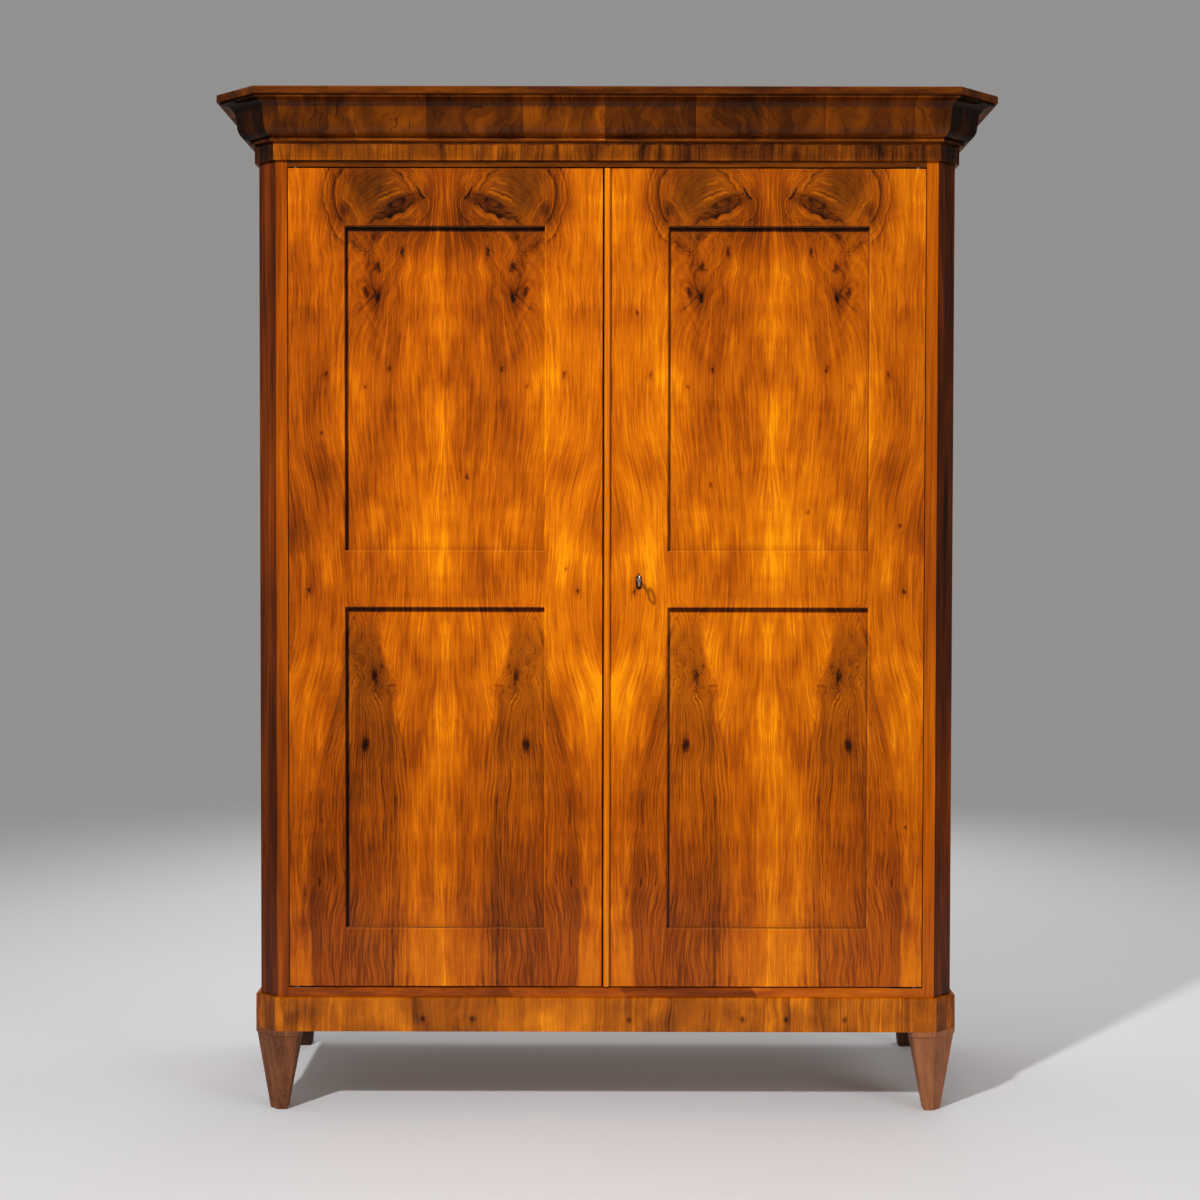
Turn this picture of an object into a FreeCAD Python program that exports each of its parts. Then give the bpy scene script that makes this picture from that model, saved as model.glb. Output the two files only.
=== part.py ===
import FreeCAD, Part
import math
import os
from types import SimpleNamespace

import Sketcher

# A two-door linen cabinet on four feet. It comes apart into a base with feet, a carcass of posts and
# framed sides, a crown with an ogee cornice, and two framed doors that turn on hidden pivots.
# X runs to the right, Y to the back and Z up. The origin is on the floor under the middle of the cabinet.

# Every driving size in millimetres.
SIZES = {
    # Plan of the carcass, measured over the posts.
    "carcass_width": 1358.0,
    "carcass_depth": 565.0,
    "corner_chamfer": 38.0,
    # Feet.
    "foot_height": 161.0,
    "foot_top_width": 90.0,
    "foot_tip_width": 34.0,
    "foot_tip_chamfer": 16.5,
    "foot_collar_height": 10.0,
    "foot_collar_step": 2.0,
    "foot_tenon_diameter": 32.0,
    "foot_tenon_length": 36.0,
    "rear_foot_top_width": 52.0,
    "rear_foot_tip_width": 36.0,
    "rear_tenon_diameter": 16.0,
    # Base frame.
    "plinth_height": 66.0,
    "plinth_projection": 9.5,
    "plinth_thickness": 30.0,
    "plinth_edge_radius": 2.5,
    "corner_block_width": 80.0,
    "bottom_board_thickness": 20.0,
    # Carcass.
    "post_width": 60.0,
    "post_depth": 70.0,
    "rear_post_width": 45.0,
    "rear_post_depth": 45.0,
    "threshold_height": 18.5,
    "head_rail_height": 11.5,
    "cross_rail_depth": 45.0,
    "cross_rail_edge_radius": 3.0,
    "side_thickness": 26.0,
    "side_rail_width": 95.0,
    "side_panel_thickness": 8.0,
    "side_groove_depth": 12.0,
    "back_board_thickness": 14.0,
    "back_rebate_width": 12.0,
    "back_tongue_width": 6.0,
    "back_tongue_thickness": 5.0,
    "shelf_thickness": 20.0,
    "shelf_setback": 6.0,
    "shelf_play": 0.5,
    "cleat_width": 20.0,
    # Doors.
    "door_height": 1589.5,
    "door_thickness": 28.0,
    "door_gap": 3.0,
    "side_gap": 2.0,
    "meeting_gap": 3.5,
    "left_door_width": 609.0,
    "hinge_stile_width": 109.0,
    "left_meeting_stile_width": 113.0,
    "right_meeting_stile_width": 111.0,
    "top_rail_width": 112.0,
    "middle_rail_width": 111.0,
    "bottom_rail_width": 114.0,
    "rail_edge_radius": 1.5,
    "lower_panel_height": 625.5,
    "panel_recess": 11.5,
    "panel_thickness": 9.0,
    "panel_groove_depth": 11.0,
    "panel_play": 1.0,
    "tenon_length": 25.0,
    "tenon_shoulder": 14.0,
    "bead_width": 12.0,
    "bead_projection": 5.0,
    # Crown: frieze, ogee cornice from its bed fillet upwards, and the cap above it.
    "frieze_height": 34.5,
    "frieze_projection": 8.0,
    "frieze_thickness": 24.0,
    "top_board_thickness": 16.0,
    "crown_back_thickness": 22.0,
    "bed_fillet_height": 5.5,
    "bed_fillet_projection": 17.5,
    "quirk_height": 1.5,
    "quirk_projection": 13.0,
    "ovolo_radius": 27.0,
    "ogee_rise": 17.0,
    "ogee_lean": 2.5,
    "cavetto_radius": 22.0,
    "top_fillet_height": 5.0,
    "top_fillet_projection": 71.0,
    "cap_thickness": 15.0,
    "cap_projection": 77.0,
    "cap_edge_radius": 4.0,
    # Pivot hinges.
    "pivot_inset": 14.0,
    "pivot_setback": 6.0,
    "pivot_diameter": 7.0,
    "pivot_reach": 7.0,
    "pivot_collar_diameter": 11.0,
    "pivot_plate_margin": 4.0,
    "pivot_plate_length": 60.0,
    "pivot_plate_width": 10.0,
    "pivot_plate_thickness": 3.0,
    # Lock, key and escutcheon.
    "lock_margin": 2.0,
    "lock_case_height": 90.0,
    "lock_case_depth": 16.0,
    "lock_wall": 2.0,
    "lock_bolt_height": 18.0,
    "lock_bolt_thickness": 10.0,
    "lock_bolt_rise": 11.0,
    "lock_bolt_setback": 1.0,
    "lock_bolt_travel": 12.0,
    "talon_width": 24.0,
    "talon_height": 4.0,
    "strike_depth": 12.0,
    "key_shaft_diameter": 6.0,
    "key_collar_diameter": 9.0,
    "key_collar_length": 4.0,
    "key_bow_diameter": 28.0,
    "key_bow_thickness": 5.0,
    "key_reach": 59.0,
    "key_bit_radius": 14.0,
    "key_bit_thickness": 3.0,
    "key_bit_width": 8.0,
    "key_ward_width": 2.0,
    "key_ward_depth": 4.0,
    "keyhole_diameter": 9.0,
    "keyhole_slot_width": 4.5,
    "escutcheon_width": 12.0,
    "escutcheon_height": 28.0,
    "escutcheon_drop": 5.5,
    "escutcheon_thickness": 1.2,
    # Bolts on the back of the left door.
    "bolt_width": 8.0,
    "bolt_length": 160.0,
    "bolt_travel": 12.0,
    "bolt_setback": 1.0,
    "bolt_knob_diameter": 11.0,
    "bolt_knob_length": 10.0,
    "bolt_knob_height": 40.0,
    "guide_width": 26.0,
    "guide_height": 12.0,
    "guide_wall": 2.0,
    "guide_margin": 12.0,
    # Fits, and how far a cut runs past what it cuts.
    "running_clearance": 0.05,
    "sliding_clearance": 0.3,
    "joint_clearance": 0.1,
    "overrun": 5.0,
}

SHELF_COUNT = 4
BACK_BOARD_COUNT = 8

# The chamfers turn each moulding by 45 degrees, so its mitres lie at half of that.
MITRE_DEGREES = 22.5
MITRE_SHARE = math.tan(math.radians(MITRE_DEGREES))
MITRE_SINE_SHARE = math.sin(math.radians(MITRE_DEGREES))
MITRE_COSINE_SHARE = math.cos(math.radians(MITRE_DEGREES))
DIAGONAL_SHARE = math.sqrt(2)

ALONG_X = FreeCAD.Vector(1, 0, 0)
ALONG_Y = FreeCAD.Vector(0, 1, 0)
ALONG_Z = FreeCAD.Vector(0, 0, 1)


class Size:
    """A length: its value, and the text of the sheet expression that gives it."""

    def __init__(self, text, value):
        self.text = text
        self.value = value

    def __add__(self, other):
        other = as_size(other)
        return Size(f"({self.text} + {other.text})", self.value + other.value)

    def __sub__(self, other):
        other = as_size(other)
        return Size(f"({self.text} - {other.text})", self.value - other.value)

    def __radd__(self, other):
        return as_size(other) + self

    def __rsub__(self, other):
        return as_size(other) - self

    def __mul__(self, share):
        return Size(f"({self.text} * {share})", self.value * share)

    def __truediv__(self, count):
        return Size(f"({self.text} / {count})", self.value / count)

    def __neg__(self):
        return Size(f"(-{self.text})", -self.value)

    __rmul__ = __mul__


def as_size(length):
    """Zero may be written as a plain number; every other length is a Size already."""
    return length if isinstance(length, Size) else Size(str(length), float(length))


doc = FreeCAD.newDocument("linen_cabinet")
sheet = doc.addObject("Spreadsheet::Sheet", "Sizes")
for row, (name, millimetres) in enumerate(SIZES.items(), start=1):
    sheet.set(f"A{row}", name.replace("_", " "))
    sheet.set(f"B{row}", str(millimetres))
    sheet.setAlias(f"B{row}", name)
doc.recompute()

S = SimpleNamespace(**{name: Size(f"Sizes.{name}", value) for name, value in SIZES.items()})

# Levels from the floor up.
plinth_top = S.foot_height + S.plinth_height
threshold_top = plinth_top + S.threshold_height
door_bottom = threshold_top + S.door_gap
door_top = door_bottom + S.door_height
head_rail_bottom = door_top + S.door_gap
carcass_top = head_rail_bottom + S.head_rail_height
frieze_top = carcass_top + S.frieze_height
ogee_height = S.ovolo_radius + S.ogee_rise + S.cavetto_radius
cornice_height = S.bed_fillet_height + S.quirk_height + ogee_height + S.top_fillet_height
cap_bottom = frieze_top + cornice_height

# Planes from front to back, and from the middle outwards.
half_width = S.carcass_width / 2
front_y = (S.cap_projection - S.carcass_depth) / 2
back_y = (S.cap_projection + S.carcass_depth) / 2
door_back_y = front_y + S.door_thickness
cross_rail_back_y = front_y + S.cross_rail_depth
side_front_y = front_y + S.post_depth
side_back_y = back_y - S.rear_post_depth
opening_x = half_width - S.post_width
side_inner_x = half_width - S.side_thickness
hinge_edge_x = opening_x - S.side_gap
left_meeting_x = S.left_door_width - hinge_edge_x
bead_x = left_meeting_x + S.meeting_gap
lock_edge_x = bead_x + S.bead_width

# The key turns in the middle of the stile, level with the middle rail.
key_x = lock_edge_x + S.right_meeting_stile_width / 2
middle_rail_bottom = door_bottom + S.bottom_rail_width + S.lower_panel_height
middle_rail_top = middle_rail_bottom + S.middle_rail_width
key_z = middle_rail_bottom + S.middle_rail_width / 2

nodes = []


def bind(thing, **lengths):
    """Tie properties of an object to the sheet."""
    for name, length in lengths.items():
        thing.setExpression(name, as_size(length).text)
    return thing


def place(thing, x, y, z, turn=0, axis=ALONG_Z):
    """Turn an object about its own origin and move that origin to a place tied to the sheet."""
    thing.Placement = FreeCAD.Placement(FreeCAD.Vector(), FreeCAD.Rotation(axis, turn))
    for name, length in zip("xyz", (x, y, z)):
        thing.setExpression(f"Placement.Base.{name}", as_size(length).text)
    return thing


def box(x_range, y_range, z_range):
    """A board between two planes along each axis."""
    board = doc.addObject("Part::Box", "Board")
    (x0, x1), (y0, y1), (z0, z1) = x_range, y_range, z_range
    bind(board, Length=x1 - x0, Width=y1 - y0, Height=z1 - z0)
    return place(board, x0, y0, z0)


def rod(diameter, length, x, y, z, axis=ALONG_Z):
    """A round bar from a point, along +Y or +Z."""
    bar = bind(doc.addObject("Part::Cylinder", "Rod"), Radius=diameter / 2, Height=length)
    if axis == ALONG_Y:
        return place(bar, x, y, z, turn=-90, axis=ALONG_X)
    return place(bar, x, y, z)


def cut(stock, tools):
    """The stock without any of the tools."""
    for tool in tools:
        result = doc.addObject("Part::Cut", "Cut")
        result.Base = stock
        result.Tool = tool
        stock = result
    return stock


def fuse(pieces):
    """One solid out of pieces that overlap or touch."""
    result = doc.addObject("Part::MultiFuse", "Glued")
    result.Shapes = pieces
    result.Refine = True
    return result


def group(pieces):
    """Separate solids that share one name."""
    result = doc.addObject("Part::Compound", "Set")
    result.Links = pieces
    return result


def twin(piece):
    """The right-hand twin of a left-hand piece."""
    result = doc.addObject("Part::Mirroring", "Twin")
    result.Source = piece
    result.Normal = ALONG_X
    return result


def node(label, piece):
    """Name a finished piece; its label names its file."""
    piece.Label = label
    nodes.append(piece)
    return piece


def arc_midpoint(start, end, radius, side):
    """Middle of the short arc from start to end, bulging to the left (1) or right (-1) of the way there."""
    chord = end - start
    sagitta = radius - math.sqrt(max(radius ** 2 - chord.Length ** 2 / 4, 0))
    left = FreeCAD.Vector(-chord.y, chord.x, 0).normalize()
    return (start + end) / 2 + left * (side * sagitta)


def outline(body, role, points, arcs=None, lift=0):
    """A closed sketch on one of the body's planes. Sides named in arcs are (radius, bulging side)."""
    arcs = arcs or {}
    sketch = body.newObject("Sketcher::SketchObject", "Outline")
    plane = next(feature for feature in body.Origin.OriginFeatures if feature.Role == role)
    sketch.AttachmentSupport = [(plane, "")]
    sketch.MapMode = "FlatFace"
    sketch.setExpression("AttachmentOffset.Base.z", as_size(lift).text)
    points = [(as_size(across), as_size(up)) for across, up in points]
    spots = [FreeCAD.Vector(across.value, up.value, 0) for across, up in points]
    ends = []
    for side, start in enumerate(spots):
        end = spots[(side + 1) % len(spots)]
        if side in arcs:
            radius, bulge = arcs[side]
            sketch.addGeometry(Part.Arc(start, arc_midpoint(start, end, radius.value, bulge), end))
            # Sketch arcs run counter-clockwise, so one that bulges to the left starts at its end.
            ends.append((2, 1) if bulge > 0 else (1, 2))
        else:
            sketch.addGeometry(Part.LineSegment(start, end))
            ends.append((1, 2))
    for side, (_, last) in enumerate(ends):
        follower = (side + 1) % len(ends)
        sketch.addConstraint(Sketcher.Constraint("Coincident", side, last, follower, ends[follower][0]))
    for side, (across, up) in enumerate(points):
        first = ends[side][0]
        for kind, axis, length in (("DistanceX", -2, across), ("DistanceY", -1, up)):
            if length.text == "0":
                sketch.addConstraint(Sketcher.Constraint("PointOnObject", side, first, axis))
            else:
                rule = Sketcher.Constraint(kind, -1, 1, side, first, length.value)
                sketch.setExpression(f"Constraints[{sketch.addConstraint(rule)}]", length.text)
    for side, (radius, _) in arcs.items():
        rule = Sketcher.Constraint("Radius", side, radius.value)
        sketch.setExpression(f"Constraints[{sketch.addConstraint(rule)}]", radius.text)
    return sketch


def padded(role, points, length, arcs=None):
    """A body whose outline is drawn on one of its planes and padded off it."""
    body = doc.addObject("PartDesign::Body", "Body")
    sketch = outline(body, role, points, arcs)
    pad = body.newObject("PartDesign::Pad", "Pad")
    pad.Profile = sketch
    bind(pad, Length=length)
    return body


def eased(body, radius, chosen):
    """Round the edges of a body whose middles the test picks."""
    doc.recompute()
    base = body.Tip
    edges = enumerate(base.Shape.Edges, start=1)
    picked = [f"Edge{number}" for number, edge in edges if chosen(edge.CenterOfMass)]
    rounding = body.newObject("PartDesign::Fillet", "Rounding")
    rounding.Base = (base, picked)
    bind(rounding, Radius=radius)
    return body


def rounded_section(depth, height, radius):
    """Corners and arcs of an upright rectangle from the origin whose upper far corner is rounded."""
    points = [(0, 0), (depth, 0), (depth, height - radius), (depth - radius, height), (0, height)]
    return points, {2: (radius, -1)}


def cut_corner(x, y, width, depth, chamfer):
    """Corners of a rectangle from (x, y) whose far corner is cut off at 45 degrees."""
    far_x = x + width
    far_y = y + depth
    return [(x, y), (far_x, y), (far_x, far_y - chamfer), (far_x - chamfer, far_y), (x, far_y)]


def front_corners_cut(width, depth, chamfer):
    """Corners of a rectangle from the origin whose two far corners are cut off at 45 degrees."""
    return [
        (0, 0), (width, 0), (width, depth - chamfer), (width - chamfer, depth), (chamfer, depth),
        (0, depth - chamfer),
    ]


def corner_x(offset):
    """Where a front face meets its chamfer, on an outline that stands off the posts by offset."""
    return half_width - S.corner_chamfer + offset * MITRE_SHARE


def chamfer_at(offset):
    """Length of the chamfer along X, and along Y, on such an outline."""
    return S.corner_chamfer + offset * (1 - MITRE_SHARE)


def shaped_board(offset, rear_y, bottom, thickness):
    """A horizontal board with chamfered front corners that follows the posts' outline at an offset."""
    width = (half_width + offset) * 2
    depth = rear_y - front_y + offset
    board = padded("XY_Plane", front_corners_cut(width, depth, chamfer_at(offset)), thickness)
    return place(board, width / 2, rear_y, bottom, turn=180)


def mitred(stock, length, depth, height, ends):
    """Saw mitres on a run whose back face is on Y = 0 and whose front edge has the full length."""
    saws = []
    for end in ends:
        blade = doc.addObject("Part::Box", "Saw")
        sawn_width = depth / MITRE_COSINE_SHARE + S.overrun * 2
        bind(blade, Length=depth, Width=sawn_width, Height=height + S.overrun * 2)
        lean_x = S.overrun * MITRE_SINE_SHARE
        lean_y = S.overrun * MITRE_COSINE_SHARE
        if end == "near":
            x = depth * (MITRE_SHARE - MITRE_COSINE_SHARE) + lean_x
            place(blade, x, -(depth * MITRE_SINE_SHARE) - lean_y, -S.overrun, turn=MITRE_DEGREES)
        else:
            place(blade, length - depth * MITRE_SHARE - lean_x, -lean_y, -S.overrun, turn=-MITRE_DEGREES)
        saws.append(blade)
    return cut(stock, saws)


def moulding(name, make_stock, projection, thickness, height, bottom):
    """A moulding round the chamfered front: front run, two corner runs and two side runs, all mitred."""
    back = projection - thickness
    spread = thickness * MITRE_SHARE

    length = (corner_x(back) + spread) * 2
    front = mitred(make_stock(length), length, thickness, height, ("near", "far"))
    node(f"{name}_front", place(front, length / 2, front_y - back, bottom, turn=180))

    length = chamfer_at(back) * DIAGONAL_SHARE + spread * 2
    corner = mitred(make_stock(length), length, thickness, height, ("near", "far"))
    shift = spread / DIAGONAL_SHARE
    place(corner, shift - corner_x(back), front_y - back - shift, bottom, turn=135)
    node(f"{name}_corners", group([corner, twin(corner)]))

    start = front_y + S.corner_chamfer - back * MITRE_SHARE - spread
    length = back_y - start
    side = mitred(make_stock(length), length, thickness, height, ("near",))
    place(side, -(half_width + back), start, bottom, turn=90)
    node(f"{name}_side_left", side)
    node(f"{name}_side_right", twin(side))


def plinth_stock(length):
    """Plinth stock: a plank with its upper outer edge rounded."""
    section, arcs = rounded_section(S.plinth_thickness, S.plinth_height, S.plinth_edge_radius)
    return padded("YZ_Plane", section, length, arcs)


def frieze_stock(length):
    """Frieze stock: a plain plank."""
    return box((0, length), (0, S.frieze_thickness), (0, S.frieze_height))


def tapered(bottom, top, height):
    """An upright block between two squares; each square spans its range both across and forwards."""
    block = doc.addObject("Part::Wedge", "Taper")
    bind(block, Xmin=bottom[0], Xmax=bottom[1], Zmin=bottom[0], Zmax=bottom[1])
    bind(block, X2min=top[0], X2max=top[1], Z2min=top[0], Z2max=top[1])
    return bind(block, Ymin=0, Ymax=height)


def front_foot():
    """Left front foot: a collar under the plinth and a shank that tapers all round the cut corner."""
    width = S.foot_top_width
    chamfer = chamfer_at(S.plinth_projection)
    shoulder = S.foot_height - S.foot_collar_height
    step = S.foot_collar_step
    inset = (width - S.foot_tip_width) / 2
    outer_x = half_width + S.plinth_projection
    outer_y = front_y - S.plinth_projection
    shank = tapered((inset, inset + S.foot_tip_width), (step, width - step), shoulder)
    place(shank, -outer_x, outer_y + width, 0, turn=90, axis=ALONG_X)

    # The saw that cuts the corner leans: these are its distances from the corner along the diagonal.
    tip_reach = inset * DIAGONAL_SHARE + S.foot_tip_chamfer / DIAGONAL_SHARE
    shank_chamfer = chamfer - step * (2 - DIAGONAL_SHARE)
    shoulder_reach = step * DIAGONAL_SHARE + shank_chamfer / DIAGONAL_SHARE
    kerf = [(-S.overrun, 0), (tip_reach, 0), (shoulder_reach, shoulder), (-S.overrun, shoulder)]
    saw = padded("XZ_Plane", kerf, width * 2)
    place(saw, -outer_x - width / DIAGONAL_SHARE, outer_y + width / DIAGONAL_SHARE, 0, turn=45)

    collar = padded("XY_Plane", cut_corner(0, 0, width, width, chamfer), S.foot_collar_height)
    place(collar, width - outer_x, outer_y + width, shoulder, turn=180)
    return [cut(shank, [saw]), collar]


def rear_foot():
    """Left rear foot: a plain block that tapers on its two inner faces."""
    block = tapered((0, S.rear_foot_tip_width), (0, S.rear_foot_top_width), S.foot_height)
    return place(block, -(half_width + S.plinth_projection), back_y, 0, turn=90, axis=ALONG_X)


def build_base():
    """Feet with round tenons, corner blocks that take them, the plinth and the board inside it."""
    back = S.plinth_projection - S.plinth_thickness
    inner_x = half_width + back
    block = S.corner_block_width
    block_height = S.plinth_height - S.bottom_board_thickness
    front_tenon = (block / 2 - inner_x, front_y - back + block / 2)
    rear_reach = (S.rear_foot_top_width - S.plinth_thickness) / 2
    rear_tenon = (rear_reach - inner_x, back_y - S.plinth_thickness - rear_reach)

    def tenon(diameter, place_xy):
        return rod(diameter, S.foot_tenon_length, *place_xy, S.foot_height)

    def tenon_hole(diameter, place_xy):
        return rod(diameter + S.joint_clearance * 2, block_height, *place_xy, S.foot_height)

    left = node("foot_front_left", fuse(front_foot() + [tenon(S.foot_tenon_diameter, front_tenon)]))
    node("foot_front_right", twin(left))
    left = node("foot_rear_left", fuse([rear_foot(), tenon(S.rear_tenon_diameter, rear_tenon)]))
    node("foot_rear_right", twin(left))

    front_block = padded("XY_Plane", cut_corner(0, 0, block, block, chamfer_at(back)), block_height)
    place(front_block, block - inner_x, front_y - back + block, S.foot_height, turn=180)
    front_block = cut(front_block, [tenon_hole(S.foot_tenon_diameter, front_tenon)])
    rear_y = back_y - S.plinth_thickness
    block_z = (S.foot_height, S.foot_height + block_height)
    rear_block = box((-inner_x, block - inner_x), (rear_y - block, rear_y), block_z)
    rear_block = cut(rear_block, [tenon_hole(S.rear_tenon_diameter, rear_tenon)])
    node("base_corner_blocks", group([front_block, twin(front_block), rear_block, twin(rear_block)]))

    moulding("plinth", plinth_stock, S.plinth_projection, S.plinth_thickness, S.plinth_height, S.foot_height)
    node("plinth_back", box((-inner_x, inner_x), (rear_y, back_y), (S.foot_height, plinth_top)))
    floor_bottom = plinth_top - S.bottom_board_thickness
    node("bottom_board", shaped_board(back, rear_y, floor_bottom, S.bottom_board_thickness))


def side_groove(y_range):
    """The groove in a left post that holds the side's panels and the tongues of its rails."""
    inset = (S.side_thickness - S.side_panel_thickness) / 2
    x0 = inset - half_width
    return box((x0, x0 + S.side_panel_thickness), y_range, (plinth_top - S.overrun, carcass_top + S.overrun))


def build_posts():
    """Chamfered front posts and rebated rear posts."""
    height = carcass_top - plinth_top
    section = cut_corner(0, 0, S.post_width, S.post_depth, S.corner_chamfer)
    post = place(padded("XY_Plane", section, height), -opening_x, side_front_y, plinth_top, turn=180)
    groove = side_groove((side_front_y - S.side_groove_depth, side_front_y + S.overrun))
    left = node("post_front_left", cut(post, [groove]))
    node("post_front_right", twin(left))

    inner_x = half_width - S.rear_post_width
    post = box((-half_width, -inner_x), (side_back_y, back_y), (plinth_top, carcass_top))
    groove = side_groove((side_back_y - S.overrun, side_back_y + S.side_groove_depth))
    rebate = box(
        (-inner_x - S.back_rebate_width, S.overrun - inner_x),
        (back_y - S.back_board_thickness, back_y + S.overrun),
        (plinth_top - S.overrun, carcass_top + S.overrun),
    )
    left = node("post_rear_left", cut(post, [groove, rebate]))
    node("post_rear_right", twin(left))


def build_sides():
    """Three rails and two panels in each side, held in the grooves of the posts."""
    inset = (S.side_thickness - S.side_panel_thickness) / 2
    panel_x = (inset - half_width, inset - half_width + S.side_panel_thickness)
    reach = S.side_groove_depth
    middle = (plinth_top + carcass_top - S.side_rail_width) / 2
    bottoms = (plinth_top, middle, carcass_top - S.side_rail_width)

    rails = []
    for level, bottom in enumerate(bottoms):
        top = bottom + S.side_rail_width
        board = box((-half_width, -side_inner_x), (side_front_y, side_back_y), (bottom, top))
        tongue_y = (side_front_y - reach, side_back_y + reach)
        rail = fuse([board, box(panel_x, tongue_y, (bottom, top))])
        past_y = (tongue_y[0] - S.overrun, tongue_y[1] + S.overrun)
        grooves = []
        if level > 0:
            grooves.append(box(panel_x, past_y, (bottom - S.overrun, bottom + reach)))
        if level < len(bottoms) - 1:
            grooves.append(box(panel_x, past_y, (top - reach, top + S.overrun)))
        rails.append(cut(rail, grooves))
    left = node("side_rails_left", group(rails))
    node("side_rails_right", twin(left))

    tuck = reach - S.panel_play
    panels = []
    for lower, upper in zip(bottoms, bottoms[1:]):
        panel_z = (lower + S.side_rail_width - tuck, upper + tuck)
        panels.append(box(panel_x, (side_front_y - tuck, side_back_y + tuck), panel_z))
    left = node("side_panels_left", group(panels))
    node("side_panels_right", twin(left))


def build_back():
    """Upright boards, tongued and grooved, in the rebates of the rear posts."""
    first_x = S.rear_post_width - half_width - S.back_rebate_width
    width = first_x * -2 / BACK_BOARD_COUNT
    front = back_y - S.back_board_thickness
    tongue_front = front + (S.back_board_thickness - S.back_tongue_thickness) / 2
    tongue_y = (tongue_front, tongue_front + S.back_tongue_thickness)
    boards = []
    for number in range(BACK_BOARD_COUNT):
        x = first_x + width * number
        board = box((x, x + width), (front, back_y), (plinth_top, carcass_top))
        if number > 0:
            past_z = (plinth_top - S.overrun, carcass_top + S.overrun)
            board = cut(board, [box((x - S.overrun, x + S.back_tongue_width), tongue_y, past_z)])
        if number < BACK_BOARD_COUNT - 1:
            tongue_x = (x + width - S.back_tongue_width, x + width + S.back_tongue_width)
            board = fuse([board, box(tongue_x, tongue_y, (plinth_top, carcass_top))])
        boards.append(board)
    node("back_boards", group(boards))


def build_shelves():
    """Loose shelves, notched round the rear posts, on cleats between the posts."""
    pitch = (carcass_top - plinth_top) / (SHELF_COUNT + 1)
    half_length = side_inner_x - S.shelf_play
    rear_y = back_y - S.back_board_thickness - S.shelf_play
    notch_x = half_width - S.rear_post_width - S.shelf_play
    shelves = []
    cleats = []
    for number in range(SHELF_COUNT):
        z = plinth_top + pitch * (number + 1)
        top = z + S.shelf_thickness
        shelf = box((-half_length, half_length), (side_front_y + S.shelf_setback, rear_y), (z, top))
        past_z = (z - S.overrun, top + S.overrun)
        notch = box((-half_width, -notch_x), (side_back_y - S.shelf_play, back_y), past_z)
        shelves.append(cut(shelf, [notch, twin(notch)]))
        cleat_x = (-side_inner_x, S.cleat_width - side_inner_x)
        cleat = box(cleat_x, (side_front_y, side_back_y), (z - S.cleat_width, z))
        cleats.extend([cleat, twin(cleat)])
    node("shelves", group(shelves))
    node("shelf_cleats", group(cleats))


def build_crown():
    """Frieze, ogee cornice and cap, with the ceiling board and the rail that closes the back."""
    back = S.frieze_projection - S.frieze_thickness
    inner_x = half_width + back
    rail_front = back_y - S.crown_back_thickness
    node("top_board", shaped_board(back, rail_front, carcass_top, S.top_board_thickness))
    node("crown_back_rail", box((-inner_x, inner_x), (rail_front, back_y), (carcass_top, cap_bottom)))

    moulding("frieze", frieze_stock, S.frieze_projection, S.frieze_thickness, S.frieze_height, carcass_top)
    cornice_depth = S.top_fillet_projection - back
    moulding("cornice", ogee_stock, S.top_fillet_projection, cornice_depth, cornice_height, frieze_top)
    cap = shaped_board(S.cap_projection, back_y, cap_bottom, S.cap_thickness)
    node("cornice_cap", eased(cap, S.cap_edge_radius, lambda middle: is_front_edge(middle, S.cap_thickness)))


def is_front_edge(middle, thickness):
    """Whether an edge of a shaped board, by its middle, is an upper one on the front or a side."""
    return middle.z > thickness.value / 2 and middle.y > 0 and not math.isclose(middle.y, 0, abs_tol=1e-6)


def ogee_stock(length):
    """Cornice stock: bed fillet, quirk, ovolo running into a cavetto, and top fillet."""
    back = S.frieze_projection - S.frieze_thickness
    bed_y = S.bed_fillet_projection - back
    quirk_y = S.quirk_projection - back
    ovolo_y = quirk_y + S.ovolo_radius
    cavetto_y = ovolo_y + S.ogee_lean
    top_y = S.top_fillet_projection - back
    ovolo_z = S.bed_fillet_height + S.quirk_height
    ovolo_end_z = ovolo_z + S.ovolo_radius
    cavetto_z = ovolo_end_z + S.ogee_rise
    cavetto_end_z = cavetto_z + S.cavetto_radius
    section = [
        (0, 0), (bed_y, 0), (bed_y, S.bed_fillet_height), (quirk_y, S.bed_fillet_height), (quirk_y, ovolo_z),
        (ovolo_y, ovolo_end_z), (cavetto_y, cavetto_z), (cavetto_y + S.cavetto_radius, cavetto_end_z),
        (top_y, cavetto_end_z), (top_y, cornice_height), (0, cornice_height),
    ]
    arcs = {4: (S.ovolo_radius, -1), 6: (S.cavetto_radius, 1)}
    return padded("YZ_Plane", section, length, arcs)


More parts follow.
